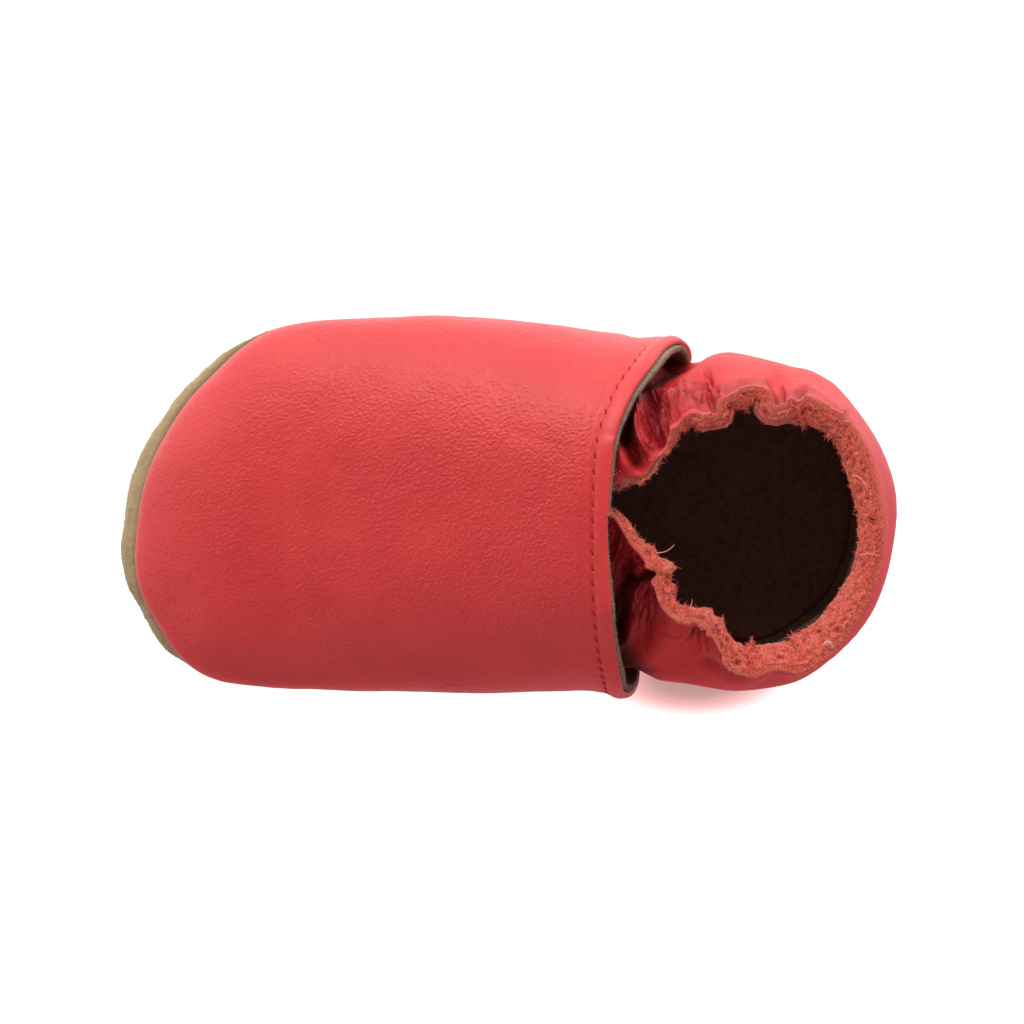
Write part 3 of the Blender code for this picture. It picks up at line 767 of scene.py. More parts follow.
# Wrinkle lines of the gathered leather, down from the collar and round it. Their valleys get
# painted shade as well as bump.
Lines = namedtuple("Lines", "per_mm stretch seed dark depth")
GATHER_LINES = [
    Lines(0.60, 5.0, 3.0, 0.90, 0.7),
    Lines(1.25, 5.0, 7.0, 0.80, 0.35),
]
RING_LINES = [
    Lines(0.75, 5.0, 11.0, 0.40, 0.8),
    Lines(1.50, 6.0, 17.0, 0.30, 0.5),
]


def pebbles(tree, place, per_mm):
    """Soft rounded pebbles of a grain: 0 between them, 1 on top."""
    made = node(tree, "ShaderNodeTexVoronoi", settings={"feature": "SMOOTH_F1"}, Vector=place,
                Scale=per_mm / MM, Smoothness=0.35)
    return rest_of(tree, ramp(tree, made.outputs["Distance"], 0.05, 0.62))


def gather_lines(tree, across, along, per_mm, stretch, seed):
    """Long thin valleys of gathered leather: 0 in a valley, 1 between."""
    place = node(tree, "ShaderNodeCombineXYZ", X=times(tree, across, per_mm),
                 Y=times(tree, along, per_mm / stretch), Z=seed).outputs[0]
    made = node(tree, "ShaderNodeTexNoise", Vector=place, Scale=1.0, Detail=2.5,
                Roughness=0.6, Distortion=0.5)
    off = maths(tree, "ABSOLUTE", maths(tree, "SUBTRACT", made.outputs["Fac"], 0.5))
    return ramp(tree, off, 0.0, 0.11)


def red_leather(name, sheen, specular, gathered=False):
    """Smooth red leather with a pebbled grain; the gathered piece has wrinkle lines too, with
    painted shade in their valleys.
    """
    made, tree, shader, place = new_material(name, 0.46, sheen, specular, 0.35, (1.0, 0.95, 1.0))
    grain = attribute(tree, "grain")
    bend = node(tree, "ShaderNodeTexNoise", Vector=place, Scale=0.75 / MM, Detail=1.0)
    bent = node(tree, "ShaderNodeVectorMath",
                (bend.outputs["Color"], (0.3 * MM, 0.3 * MM, 0.3 * MM), place),
                {"operation": "MULTIPLY_ADD"}).outputs[0]
    slant = node(tree, "ShaderNodeMapping", settings={"vector_type": "TEXTURE"}, Vector=bent,
                 Rotation=(0.0, 0.0, GRAIN_SLANT), Scale=(1.0, GRAIN_STRETCH, 1.0)).outputs[0]
    large = pebbles(tree, slant, 1.65)
    small = ramp(tree, spots(tree, slant, 2.2, detail=0.5), 0.25, 0.75)
    fine = spots(tree, place, 5.0, detail=3.0, roughness=0.6)
    zones = ramp(tree, spots(tree, place, 0.07, detail=2.0), 0.32, 0.62)
    strong = times(tree, grain, times(tree, zones, 0.30, 0.70))
    height = times(tree, small, 0.55, times(tree, large, 0.60))
    lines = times(tree, rest_of(tree, height), strong)
    height = times(tree, fine, 0.06, height)
    height = times(tree, height, strong)
    clouds = ramp(tree, spots(tree, place, 0.09, detail=3.0), 0.3, 0.7)
    base = colour_mix(tree, clouds, RED, RED_WARM)
    base = colour_mix(tree, times(tree, lines, 0.26), base, RED_DEEP)
    if gathered:
        at = attribute(tree, "along")
        below = attribute(tree, "below")
        for field, across, along, rows in (("gathers", at, below, GATHER_LINES),
                                           ("rings", below, at, RING_LINES)):
            mask = attribute(tree, field)
            for row in rows:
                valley = gather_lines(tree, across, along, row.per_mm, row.stretch, row.seed)
                # the valleys are painted darker, as shade, as well as bumped
                dark = times(tree, rest_of(tree, valley), mask)
                base = colour_mix(tree, times(tree, dark, row.dark), base, RED_DEEP)
                height = times(tree, dark, -row.depth, height)
    # Painted shade: darker in the stitch groove, in creases and fold valleys, and in the nap's
    # pits.
    base = colour_mix(tree, attribute(tree, "painted_shade"), base, RED_DEEP)
    # painted shade: near black in the hollows under the throat edge
    base = colour_mix(tree, attribute(tree, "painted_hollow_shade"), base, RED_SHADE_BLACK)
    bumped(tree, shader, height, 0.13)
    feed(tree, shader, {"Base Color": base, "Roughness": times(tree, fine, 0.18, 0.37)})
    return made


def nap(name, plain, pale, deep, sheen=0.35, relief=0.16, clump=1.6, mottle=1.0):
    """Fibrous leather: tufts, fine fibres and soft pale tips, darker where its bump is low as
    painted shade in its pits.
    """
    made, tree, shader, place = new_material(name, 0.95, sheen=sheen, specular=0.15)
    tufts = spots(tree, place, clump, detail=4.0, roughness=0.65)
    fine = spots(tree, place, 7.0, detail=3.0, roughness=0.7)
    broad = spots(tree, place, 0.16, detail=2.0)
    sunk = rest_of(tree, ramp(tree, tufts, 0.36, 0.58))
    sunk = times(tree, sunk, mottle)
    base = colour_mix(tree, sunk, plain, deep)
    tips = times(tree, ramp(tree, fine, 0.48, 0.72), 0.75 * mottle)
    base = colour_mix(tree, tips, base, pale)
    base = colour_mix(tree, times(tree, ramp(tree, broad, 0.3, 0.7), 0.25), base, pale)
    # The mesh's fields add painted shade (darker) and, on the collar's lateral flap, painted light
    # (paler).
    base = colour_mix(tree, attribute(tree, "painted_shade"), base, deep)
    base = colour_mix(tree, attribute(tree, "pale"), base, pale)
    feed(tree, shader, {"Base Color": base})
    height = times(tree, fine, 0.45, tufts)
    bumped(tree, shader, height, relief)
    return made


def thread(name, plain, deep, sheen=0.2):
    """Twisted or fibrous thread, darker in its grooves."""
    made, tree, shader, place = new_material(name, 0.6, sheen=sheen, specular=0.2)
    twist = spots(tree, place, 4.0, detail=2.0)
    grooves = ramp(tree, twist, 0.35, 0.65)
    feed(tree, shader, {"Base Color": colour_mix(tree, grooves, deep, plain)})
    bumped(tree, shader, twist, 0.05)
    return made


LEATHER_VAMP = red_leather("leather_vamp", 0.24, 0.46)
LEATHER_BACK = red_leather("leather_back", 0.05, 0.22, gathered=True)
FLESH_CUT = nap("flesh_cut_edge", (0.84, 0.155, 0.100), (0.94, 0.33, 0.24), (0.42, 0.020, 0.015),
                sheen=0.1, relief=0.3, clump=4.0)
GRAIN_LINE = thread("grain_line", (0.76, 0.15, 0.12), (0.66, 0.08, 0.07))
FLESH_NAP = nap("flesh_nap", CORAL, CORAL_PALE, CORAL_DEEP, sheen=0.45, relief=0.35, clump=2.2)
# The flesh side inside the shoe, painted far darker than the same flesh on the cut edge: painted
# shade.
FLESH_IN_SHADE = nap("flesh_in_shade", (0.24, 0.016, 0.013), (0.30, 0.04, 0.03), (0.10, 0.006, 0.005),
                   sheen=0.1)
FIBRE_CORAL = thread("fibre_coral", (0.98, 0.175, 0.110), (0.90, 0.095, 0.060), sheen=0.35)
FIBRE_PALE = thread("fibre_pale", (0.94, 0.36, 0.28), (0.90, 0.24, 0.18))
FIBRE_DEEP = thread("fibre_deep", (0.60, 0.035, 0.025), (0.42, 0.015, 0.012))
FIBRE_TAUPE = thread("fibre_taupe", (0.50, 0.38, 0.27), (0.26, 0.17, 0.115))
FIBRE_TAN = thread("fibre_tan", (0.55, 0.42, 0.26), (0.36, 0.26, 0.14))
SUEDE_LINING = nap("suede_lining", TAUPE, TAUPE_PALE, TAUPE_DEEP, relief=0.2, mottle=0.8)
SUEDE_SOLE = nap("suede_sole", TAN, TAN_PALE, TAN_DEEP, relief=0.12, clump=1.2, mottle=0.3)
SUEDE_INSOLE = nap("suede_insole", BROWN, BROWN_PALE, (0.05, 0.03, 0.02), sheen=0.05, clump=0.8,
                   mottle=0.5)
THREAD_RED = thread("thread_red", (0.74, 0.045, 0.040), (0.55, 0.022, 0.024))
# Dark crimson thread where it dives into its holes: the thread is real, its darkness is painted
# shade.
THREAD_SHADED = thread("thread_shaded", (0.52, 0.008, 0.012), (0.32, 0.004, 0.006), sheen=0.0)
THREAD_PALE = thread("thread_pale", (0.95, 0.26, 0.16), (0.80, 0.13, 0.09))
THREAD_ECRU = thread("thread_ecru", (0.80, 0.62, 0.45), (0.62, 0.42, 0.28))


# ---------------------------------------------------------------- the vamp
INSIDE = np.array([0.0, 0.0, 15.0])     # a point in the hollow of the shoe


def rolled(grid, radius, steps, under_run, side):
    """Columns that carry the vamp's edge round and back under; side 0 or -1 picks the edge."""
    normal = vamp_normals(grid)[:, side]
    edge = grid[:, side]
    out = square_to(edge - grid[:, 2 if side == 0 else -3], normal)
    columns = []
    for step in range(1, steps + 1):
        angle = math.pi * step / steps
        columns.append(edge + out * radius * math.sin(angle)
                       - normal * radius * (1 - math.cos(angle)))
    for run in np.linspace(0.0, under_run, 9)[1:]:
        columns.append(edge - normal * 2 * radius - out * run)
    return np.stack(columns, 1)


def edge_line(grid):
    """The throat edge as one line, from the lateral seam over the crest to the medial seam."""
    return np.concatenate([grid[:, 0], grid[::-1, -1][1:]])


VAMP_CENTRE = np.array([0.0, -20.0, 0.0])   # the vamp and the sole bulge away from here
# Places in plan where the vamp bulges further out, by how much and over what reach.
Swell = namedtuple("Swell", "name place reach out")
SWELLS = [
    Swell("medial_toe", (28.6, -49.0), 11.0, 1.15),
    Swell("lateral_corner", (-29.0, 27.6), 2.4, 0.50),
    Swell("lateral_seam", (-28.6, 22.4), 2.0, -0.45),
]
SOLE_SWELLS = [
    Swell("medial_toe_rim", (17.0, -62.8), 6.0, -1.0),
    Swell("lateral_toe_rim", (-15.0, -61.0), 6.0, -0.6),
]


def swollen(grid, rows, lifted):
    """A sheet moved out, or in where negative, round the places in plan that the rows name."""
    out = unit(grid * (1.0, 1.0, 0.0) - VAMP_CENTRE)
    out[..., 2] = 0.0
    for row in rows:
        near = bell(grid[..., :2], row.place, row.reach)
        grid = grid + out * (row.out * near * lifted)[..., None]
    return grid


GROOVE_DEPTH = 0.26     # the leather is drawn in along the topstitch,
PUCKER_DEPTH = 0.10     # and more so at each stitch
EDGE_PROUD = 0.20       # the band between the stitches and the edge stands proud,
EDGE_BAND = (-0.2, 0.9, 1.9, 2.9)
SEAM_PROUD = 0.12       # and so does the leather behind them, a little
SEAM_BAND = (3.4, 4.6, 4.6, 8.5)
TOE_PUCKER = 0.22       # the leather is gathered where it meets the sole, most at the toe
# Unevenness of the leather, which begins at a distance from the throat edge.
Wave = namedtuple("Wave", "name height size seed nearest full")
VAMP_WAVES = [
    Wave("bulges", 0.26, 17.0, 3, 1.5, 8.0),
    Wave("ripples", 0.10, 7.5, 5, 1.5, 8.0),
    Wave("lumps", 0.035, 2.2, 7, 3.4, 6.0),
]
# Creases in plan, as X and Y of their ends and middle.
Crease = namedtuple("Crease", "name start middle end width depth")
VAMP_CREASES = [
    Crease("toe_line_1", (-20.0, -28.0), (-8.0, -31.0), (4.0, -27.0), 1.6, 0.06),
    Crease("instep_line", (-15.0, -2.0), (-13.0, 6.0), (-9.0, 12.0), 1.4, 0.07),
]


def point_values(store, field, width):
    """Numbers held by the points of a mesh, as an array."""
    values = np.empty(len(store) * width, np.float32)
    store.foreach_get(field, values)
    return values.reshape(-1, width).astype(float)


def add_vamp():
    """The red vamp with its rolled throat edge. Returns its sheet and the throat's line."""
    grid = curled(vamp_sheet(VAMP_STATIONS, VAMP_FAN, VAMP_TUCK_STEPS, VAMP_DOME_STEPS))
    grid = swollen(grid, SWELLS, smooth_step(2.5, 6.0, grid[..., 2]))
    throat = edge_line(grid)
    first = rolled(grid, LEATHER_ROLL, ROLL_STEPS, UNDER_RUN, 0)[:, ::-1]
    last = rolled(grid, LEATHER_ROLL, ROLL_STEPS, UNDER_RUN, -1)
    whole = np.concatenate([first, grid, last], 1)
    on_top = np.zeros(whole.shape[:2])
    on_top[:, first.shape[1]:-first.shape[1]] = 1.0
    piece = mesh_piece("vamp_leather", "upper_vamp", [LEATHER_VAMP], whole,
                       fields={"on_top": on_top}, weld=True, nodes=["upper_vamp"])
    mesh = piece.data
    places = point_values(mesh.vertices, "co", 3) / MM
    normals = point_values(mesh.vertex_normals, "vector", 3)
    if np.mean(np.sum(normals * (places - INSIDE), -1)) < 0:
        mesh.flip_normals()
        normals = -normals
    top = point_values(mesh.attributes["on_top"].data, "value", 1)[:, 0]
    distance, along = to_line(places, throat[::3])
    rise, painted_shade = vamp_relief(places, distance, along)
    places = places + normals * (rise * top)[:, None]
    mesh.vertices.foreach_set("co", (places * MM).astype(np.float32).ravel())
    field = smooth_step(STITCH_IN + 0.2, STITCH_IN + 2.2, distance)
    grain = (0.12 + 0.88 * field) * (0.35 + 0.65 * smooth_step(11.0, 22.0, places[:, 2]))
    grain = grain * (0.62 + 0.38 * bell(places[:, :2], GRAIN_CENTRE, GRAIN_REACH))
    store_fields(mesh, {"painted_shade": painted_shade * top, "grain": grain})
    return grid, throat


def creases(rows, plan):
    """Each row's line in plan: the distances to it and along it, and its length."""
    for row in rows:
        line = np.array([row.start, row.middle, row.end])
        yield (row, *to_line(plan, line), run_length(line)[-1])


def vamp_relief(places, distance, along):
    """Relief over the vamp, and the painted shade in its stitch groove."""
    x, y, z = places.T
    groove = hump(distance, STITCH_IN, 0.45) * (0.3 + 0.7 * smooth_step(14.0, 28.0, z))
    pucker = 0.5 + 0.5 * np.cos(2 * math.pi * along / STITCH_PITCH)
    rise = -GROOVE_DEPTH * groove - PUCKER_DEPTH * hump(distance, STITCH_IN, 0.9) * pucker
    rise += EDGE_PROUD * zone(distance, EDGE_BAND) + SEAM_PROUD * zone(distance, SEAM_BAND)
    for wave in VAMP_WAVES:
        away = smooth_step(wave.nearest, wave.full, distance)
        rise += wave.height * noise(places, wave.size, wave.seed) * away
    front = fading(-30.0, -12.0, y)
    low = fading(6.0, 15.0, z)
    angle = np.arctan2(x - 1.0, y - VAMP_CENTRE[1])
    ring = np.stack([np.cos(angle) * 30.0, np.sin(angle) * 30.0, z * 0.3], -1)
    rise += TOE_PUCKER * noise(ring, 3.4, 11) * low * (0.4 + 0.6 * front)
    for row, gap, part, length in creases(VAMP_CREASES, places[:, :2]):
        ends = smooth_step(0.0, 0.3 * length, part) * smooth_step(0.0, 0.3 * length, length - part)
        rise += row.depth * crease(gap, row.width) * ends * smooth_step(8.0, 14.0, z)
    # Painted shade in the stitch groove, darkest at each stitch.
    painted_shade = 0.35 * groove * (0.5 + 0.5 * pucker)
    return rise, np.clip(painted_shade, 0.0, 1.0)


def add_lining(grid):
    """The suede lining: it shows as a raw edge inside the throat and from behind."""
    step = grid[::2, ::3]
    normals = vamp_normals(step)
    height = step[:, 0, 2]
    edges = []
    for index, inner, corner in ((0, 1, hump(height, 27.0, 11.0)), (-1, -2, 0 * height)):
        normal = normals[:, index]
        out = square_to(step[:, index] - step[:, inner], normal)
        proud = (LEATHER_ROLL + LINING_PROUD + LINING_CORNER * corner)[:, None]
        edges.append((index, step[:, index] + out * proud, out, normal))
    outer = np.concatenate([edges[0][1][:, None], step, edges[1][1][:, None]], 1)
    normals = np.concatenate([edges[0][3][:, None], normals, edges[1][3][:, None]], 1)
    wobble = noise(outer, 1.8, 21)[..., None] * LINING_RAGGED
    upper = outer - normals * (2 * LEATHER_ROLL + 0.12)
    lower = upper - normals * LINING_WALL
    for index, _, out, normal in edges:
        upper[:, index] += out * wobble[:, index]
        lower[:, index] += out * (wobble[:, index] - 0.12)
    sheet = np.concatenate([upper, lower[:, ::-1], upper[:, :1]], 1)
    # Painted shade: the lining is darker low down, most on the medial side.
    low = fading(20.0, 32.0, sheet[..., 2])
    shade = 0.85 * low * smooth_step(0.0, 15.0, sheet[..., 0])
    shade = np.maximum(shade, 0.35 * fading(8.0, 22.0, sheet[..., 2]))
    mesh_piece("vamp_lining", "insole", [SUEDE_LINING], sheet, fields={"painted_shade": shade}, weld=True)
    random = np.random.default_rng(4)
    roots, aims = [], []
    for index, _, out, normal in edges:
        line = (upper[:, index] + lower[:, index]) / 2
        length = run_length(line)
        pick = random.uniform(4.0, length[-1], LINING_FIBRES)
        middle, outward, up = (along_line(values, length, pick) for values in (line, out, normal))
        outward, up = unit(outward), unit(up)
        middle = middle + up * random.uniform(-0.4, 0.4, (len(pick), 1))
        roots.append(middle - outward * 0.15)
        aims.append(unit(outward + up * random.uniform(-0.9, 0.7, (len(pick), 1))
                         + random.normal(0.0, 0.45, (len(pick), 3))))
    fibre_piece("lining_fuzz", "insole", FIBRE_TAUPE, np.concatenate(roots), np.concatenate(aims),
                random.uniform(0.15, 0.42, 2 * LINING_FIBRES), 0.04, random)


def beside_edge(grid, side, throat):
    """Line on the vamp at the stitches' distance from its edge; side 0 or -1 picks the edge."""
    line = []
    for row in grid[6:]:
        run = row[:40] if side == 0 else row[::-1][:40]
        gap = to_line(run, throat[::3])[0]
        cross = int(np.argmax(gap > STITCH_IN))
        if cross:
            part = (STITCH_IN - gap[cross - 1]) / (gap[cross] - gap[cross - 1])
            line.append(run[cross - 1] + (run[cross] - run[cross - 1]) * part)
    return np.array(line)


def add_topstitch(grid, throat):
    """Stitches round the throat: dark slots where the thread dives, painted dark as the shade of
    its holes, bright thread between, and pale tips as a painted highlight near the top.
    """
    line = np.concatenate([beside_edge(grid, 0, throat), beside_edge(grid, -1, throat)[::-1][1:]])
    line = line[np.diff(run_length(line), prepend=-1.0) > 1e-3]
    length = run_length(line)
    at = np.arange(1.0, length[-1] - 1.0, STITCH_PITCH)
    middle, behind, ahead, between, tips = (along_line(line, length, at + shift)
                                            for shift in (0.0, -0.5, 0.5, STITCH_PITCH / 2, 0.62))
    random = np.random.default_rng(9)
    along = unit(ahead - behind)
    flat = grid.reshape(-1, 3)
    near = [int(np.argmin(np.sum((flat - point) ** 2, 1))) for point in middle]
    normal = vamp_normals(grid).reshape(-1, 3)[near]
    across = unit(np.cross(normal, along))
    low = fading(STITCH_FADE_Z, STITCH_FULL_Z, middle[:, 2]) * (middle[:, 0] < 0.0)
    slant = unit(along + across * random.uniform(0.30, 0.62, (len(at), 1)))
    # the slots: thread painted dark as the shade of its holes
    thread_piece("topstitch_shaded_slots", "upper_vamp", THREAD_SHADED,
                 middle - normal * (0.23 + 0.06 * low)[:, None], slant,
                 random.uniform(1.15, 1.50, len(at)), 0.27)
    turn = unit(along - across * random.uniform(0.02, 0.14, (len(at), 1)))
    sunk = (0.33 + 0.16 * low)[:, None]
    thread_piece("topstitch_thread", "upper_vamp", THREAD_RED, between - normal * sunk, turn,
                 random.uniform(1.55, 1.8, len(at)), 0.18)
    # Pale thread tips as a painted highlight, only near the top of the throat.
    tips = tips - normal * (sunk - 0.06)
    shown = tips[:, 2] > TIP_HIGHLIGHTS_ABOVE
    thread_piece("topstitch_tip_highlights", "upper_vamp", THREAD_PALE, tips[shown], turn[shown],
                 random.uniform(0.30, 0.46, len(at))[shown], 0.17)


# ---------------------------------------------------------------- the back piece
# Folds of the back piece in plan, as the vamp's creases. A negative depth is a ridge.
BACK_CREASES = [
    Crease("lateral_flap_fold", (-18.4, 19.4), (-12.8, 20.2), (-7.0, 22.5), 1.0, 2.0),
    Crease("lateral_flap_swell", (-11.2, 18.8), (-9.4, 19.6), (-7.4, 20.8), 1.6, -0.9),
    Crease("lateral_ridge", (-20.4, 22.0), (-14.8, 21.9), (-8.4, 24.4), 1.0, -1.3),
    Crease("lateral_valley", (-20.4, 24.6), (-15.6, 24.4), (-10.4, 26.2), 1.1, 1.6),
    Crease("lateral_streak", (-18.8, 26.6), (-15.8, 26.2), (-12.4, 27.4), 0.5, 0.6),
    Crease("lateral_bulge", (-19.8, 27.0), (-19.0, 30.0), (-18.4, 32.6), 1.7, -0.8),
    Crease("lateral_cross", (-20.5, 29.8), (-21.0, 32.0), (-21.8, 34.6), 0.5, 0.5),
    Crease("lateral_branch_1", (-20.8, 30.2), (-22.4, 29.6), (-24.2, 29.2), 0.4, 0.35),
    Crease("lateral_branch_2", (-21.3, 32.2), (-23.0, 31.6), (-24.8, 31.4), 0.4, 0.35),
    Crease("lateral_branch_3", (-21.6, 34.2), (-23.0, 33.6), (-24.4, 33.2), 0.4, 0.3),
    Crease("root_1", (-17.7, 34.0), (-19.5, 33.6), (-21.6, 33.6), 0.32, 0.5),
    Crease("root_2", (-17.8, 34.2), (-19.5, 34.4), (-22.0, 35.4), 0.30, 0.35),
    Crease("valley_2_up", (-18.6, 44.8), (-20.4, 44.0), (-23.2, 42.6), 0.30, 0.55),
    Crease("valley_2_middle", (-18.6, 45.2), (-20.6, 45.6), (-22.2, 45.6), 0.28, 0.5),
    Crease("valley_2_right", (-18.8, 45.4), (-20.6, 48.0), (-22.2, 51.6), 0.32, 0.6),
    Crease("lobe_2_arc_1", (-20.6, 36.0), (-22.4, 38.6), (-22.4, 42.0), 0.28, 0.35),
    Crease("lobe_2_arc_2", (-20.0, 36.6), (-21.4, 39.0), (-21.2, 42.2), 0.28, 0.3),
    Crease("quarter_notch", (-16.8, 55.6), (-17.4, 56.8), (-18.2, 58.6), 0.5, 0.6),
    Crease("quarter_swell", (-23.5, 43.0), (-24.5, 48.5), (-22.5, 54.5), 2.4, -0.7),
    Crease("medial_flap_fold", (20.0, 18.6), (13.0, 20.2), (5.0, 20.8), 1.2, 1.6),
    Crease("medial_ridge", (15.0, 21.0), (11.5, 22.0), (9.0, 22.6), 1.0, -0.6),
    Crease("medial_cross", (9.2, 23.8), (11.4, 21.0), (13.6, 18.2), 0.7, 1.1),
    Crease("medial_bulge", (23.0, 25.0), (19.5, 27.5), (17.8, 29.0), 2.0, -0.6),
    Crease("medial_root_1", (17.9, 31.6), (20.0, 31.0), (21.6, 29.6), 0.28, 0.8),
    Crease("medial_root_2", (21.6, 29.6), (23.2, 29.0), (24.8, 29.2), 0.28, 0.8),
    Crease("medial_root_3", (17.9, 32.0), (21.0, 32.2), (24.0, 32.8), 0.26, 0.8),
    Crease("medial_root_4", (18.4, 32.6), (21.2, 33.6), (23.6, 34.0), 0.26, 0.7),
    Crease("medial_root_5", (19.2, 33.6), (21.8, 35.2), (24.0, 35.6), 0.28, 0.6),
    Crease("medial_root_6", (19.6, 31.2), (21.4, 31.2), (22.6, 30.2), 0.24, 0.5),
    Crease("medial_under_lobe", (19.2, 26.6), (20.2, 28.6), (19.4, 30.4), 0.35, 0.4),
    Crease("medial_lip", (24.5, 34.0), (26.4, 37.5), (27.0, 42.0), 1.0, 0.5),
]

# Painted shade, near black, in the hollows under the throat edge, in plan: ends, reach and how
# dark the painted shade is.
HollowShade = namedtuple("HollowShade", "name start middle end reach dark")
HOLLOW_SHADES = [
    HollowShade("lateral_corner", (-22.8, 24.0), (-25.0, 26.8), (-26.4, 31.0), 1.3, 1.0),
    HollowShade("lateral_edge", (-22.6, 23.8), (-18.8, 21.2), (-11.4, 18.7), 0.8, 0.7),
    HollowShade("medial_edge", (14.4, 18.6), (21.0, 19.4), (26.4, 20.6), 1.9, 0.95),
    HollowShade("medial_corner", (25.0, 20.6), (27.2, 21.8), (28.6, 23.4), 2.1, 0.92),
    HollowShade("medial_cross", (9.4, 24.0), (11.6, 20.8), (13.4, 18.4), 0.7, 0.7),
    HollowShade("lateral_fold", (-13.4, 19.6), (-10.6, 20.8), (-7.4, 22.3), 0.55, 0.85),
]

GATHER_FOLD = 0.42      # relief of the gathered wings: large folds
GATHER_WRINKLE = 0.20   # and fine wrinkles between them
FLUTE_DEPTH = 0.30      # and of the shallow flutes round the rest of the collar
PEBBLE_HEIGHT = 0.05
BULGE_HEIGHT = 0.35
# Fine lines round the heel: their rise, how far below the edge they lie, and their width.
HEEL_LINES = [(0.20, 0.9, 0.35), (-0.20, 1.7, 0.35), (0.12, 2.6, 0.4)]


def back_relief(grid, at, below, throat):
    """Large folds and small wrinkles of the back piece, and the painted shade in their creases and
    valleys.
    """
    plan = grid[..., :2]
    height = grid[..., 2]
    along = np.broadcast_to(at, grid.shape[:2])
    large = np.zeros(grid.shape[:2])
    painted_shade = np.zeros(grid.shape[:2])
    upper = smooth_step(14.0, 22.0, height)
    for row, gap, part, length in creases(BACK_CREASES, plan):
        ends = fading(0.6 * length, length, part)
        if row.width < SHORT_CREASE:
            ends = ends * fading(7.0, 13.0, below)
        large += row.depth * crease(gap, row.width) * ends * upper
        # painted shade along each crease
        dark = hump(gap, 0.0, row.width) * ends * upper * row.depth
        painted_shade = np.maximum(painted_shade, np.clip(1.3 * dark, 0.0, 0.95))
    deep = zone(below, (0.3, 1.4, 8.0, 20.0))
    wander = along + 1.6 * noise(grid, 4.0, 41) * smooth_step(3.0, 9.0, below)
    wings = (zone(wander, LATERAL_WING) + zone(wander, MEDIAL_WING)) * deep
    wings = wings * (1 - 0.85 * hump(along, 30.0, 4.0) * fading(3.0, 6.0, below))
    wings = wings * (0.7 + 0.3 * np.clip(1.6 * painted_shade, 0.0, 1.0))
    spread = np.stack([along, below * 0.2, height * 0.05], -1)
    spread = spread + 0.4 * noise(grid, 3.0, 31)[..., None]
    folds = ridges(spread, 1.9, 33)
    folds_fine = ridges(spread, 1.0, 37)
    large += GATHER_FOLD * folds * wings
    fine = GATHER_WRINKLE * folds_fine * wings
    # and painted shade in the valleys of the gathered folds
    painted_shade = np.maximum(painted_shade, wings * (np.clip(-folds, 0, 1) * 0.55
                                         + np.clip(-folds_fine, 0, 1) * 0.25))
    gap = to_line(grid, throat[::3])[0]
    hollow = fading(1.6, HOLLOW_RUN, gap)
    hollow = hollow * smooth_step(8.0, 14.0, height) * smooth_step(2.0, 8.0, below)
    depth = np.where(grid[..., 0] < 0, HOLLOW_LATERAL, HOLLOW_MEDIAL)
    corner = bell(plan, HOLLOW_CORNER, HOLLOW_CORNER_REACH)
    hollow = hollow * depth + HOLLOW_MORE * corner * smooth_step(9.0, 15.0, height)
    # Painted shade, near black, in the hollows beside the throat edge.
    painted_hollow_shade = np.zeros(grid.shape[:2])
    for row, away, part, length in creases(HOLLOW_SHADES, plan):
        painted_hollow_shade = np.maximum(painted_hollow_shade, row.dark * hump(away, 0.0, row.reach))
    painted_hollow_shade = painted_hollow_shade * smooth_step(1.0, 2.5, below)
    calm = 1 - np.clip(wings, 0, 1)
    heel = zone(along, (50.0, 60.0, 92.0, 102.0))
    near_edge = zone(below, (0.0, 0.8, 4.0, 13.0))
    around = np.stack([along, below * 0.12, np.zeros_like(along)], -1)
    flutes = noise(around, (2.6, 2.0, 1.0), 51)
    large += FLUTE_DEPTH * flutes * near_edge * calm * (1 - 0.8 * heel)
    for rise, place, width in HEEL_LINES:
        line = heel * hump(below, place, width)
        fine += rise * line
        # a sunk line is painted darker, as shade
        if rise < 0:
            painted_shade = np.maximum(painted_shade, 0.35 * line)
    fine += PEBBLE_HEIGHT * noise(grid, 1.3, 59) * smooth_step(0.4, 1.2, below)
    large += BULGE_HEIGHT * noise(grid, 14.0, 61) * smooth_step(2.0, 10.0, below)
    free = smooth_step(5.5, 9.0, height)
    large = large * free - hollow
    rings = zone(below, (0.5, 1.3, 4.0, 9.0)) * calm * (1 - 0.6 * heel)
    rings = rings * smooth_step(14.0, 18.0, along)
    fields = {"painted_shade": np.clip(painted_shade * free, 0.0, 0.9), "gathers": np.clip(wings, 0, 1) * free,
              "rings": rings * free, "along": along, "below": below,
              "grain": np.full(grid.shape[:2], 0.45), "painted_hollow_shade": painted_hollow_shade}
    return large, fine * free, fields


# The cut edge of the back piece: how far in from its outer face, and how high.
CUT_PROFILE = [(0.13, 0.10), (0.26, 0.14), (0.42, 0.13), (0.62, 0.13), (0.82, 0.11), (1.0, 0.09),
               (1.12, 0.04)]


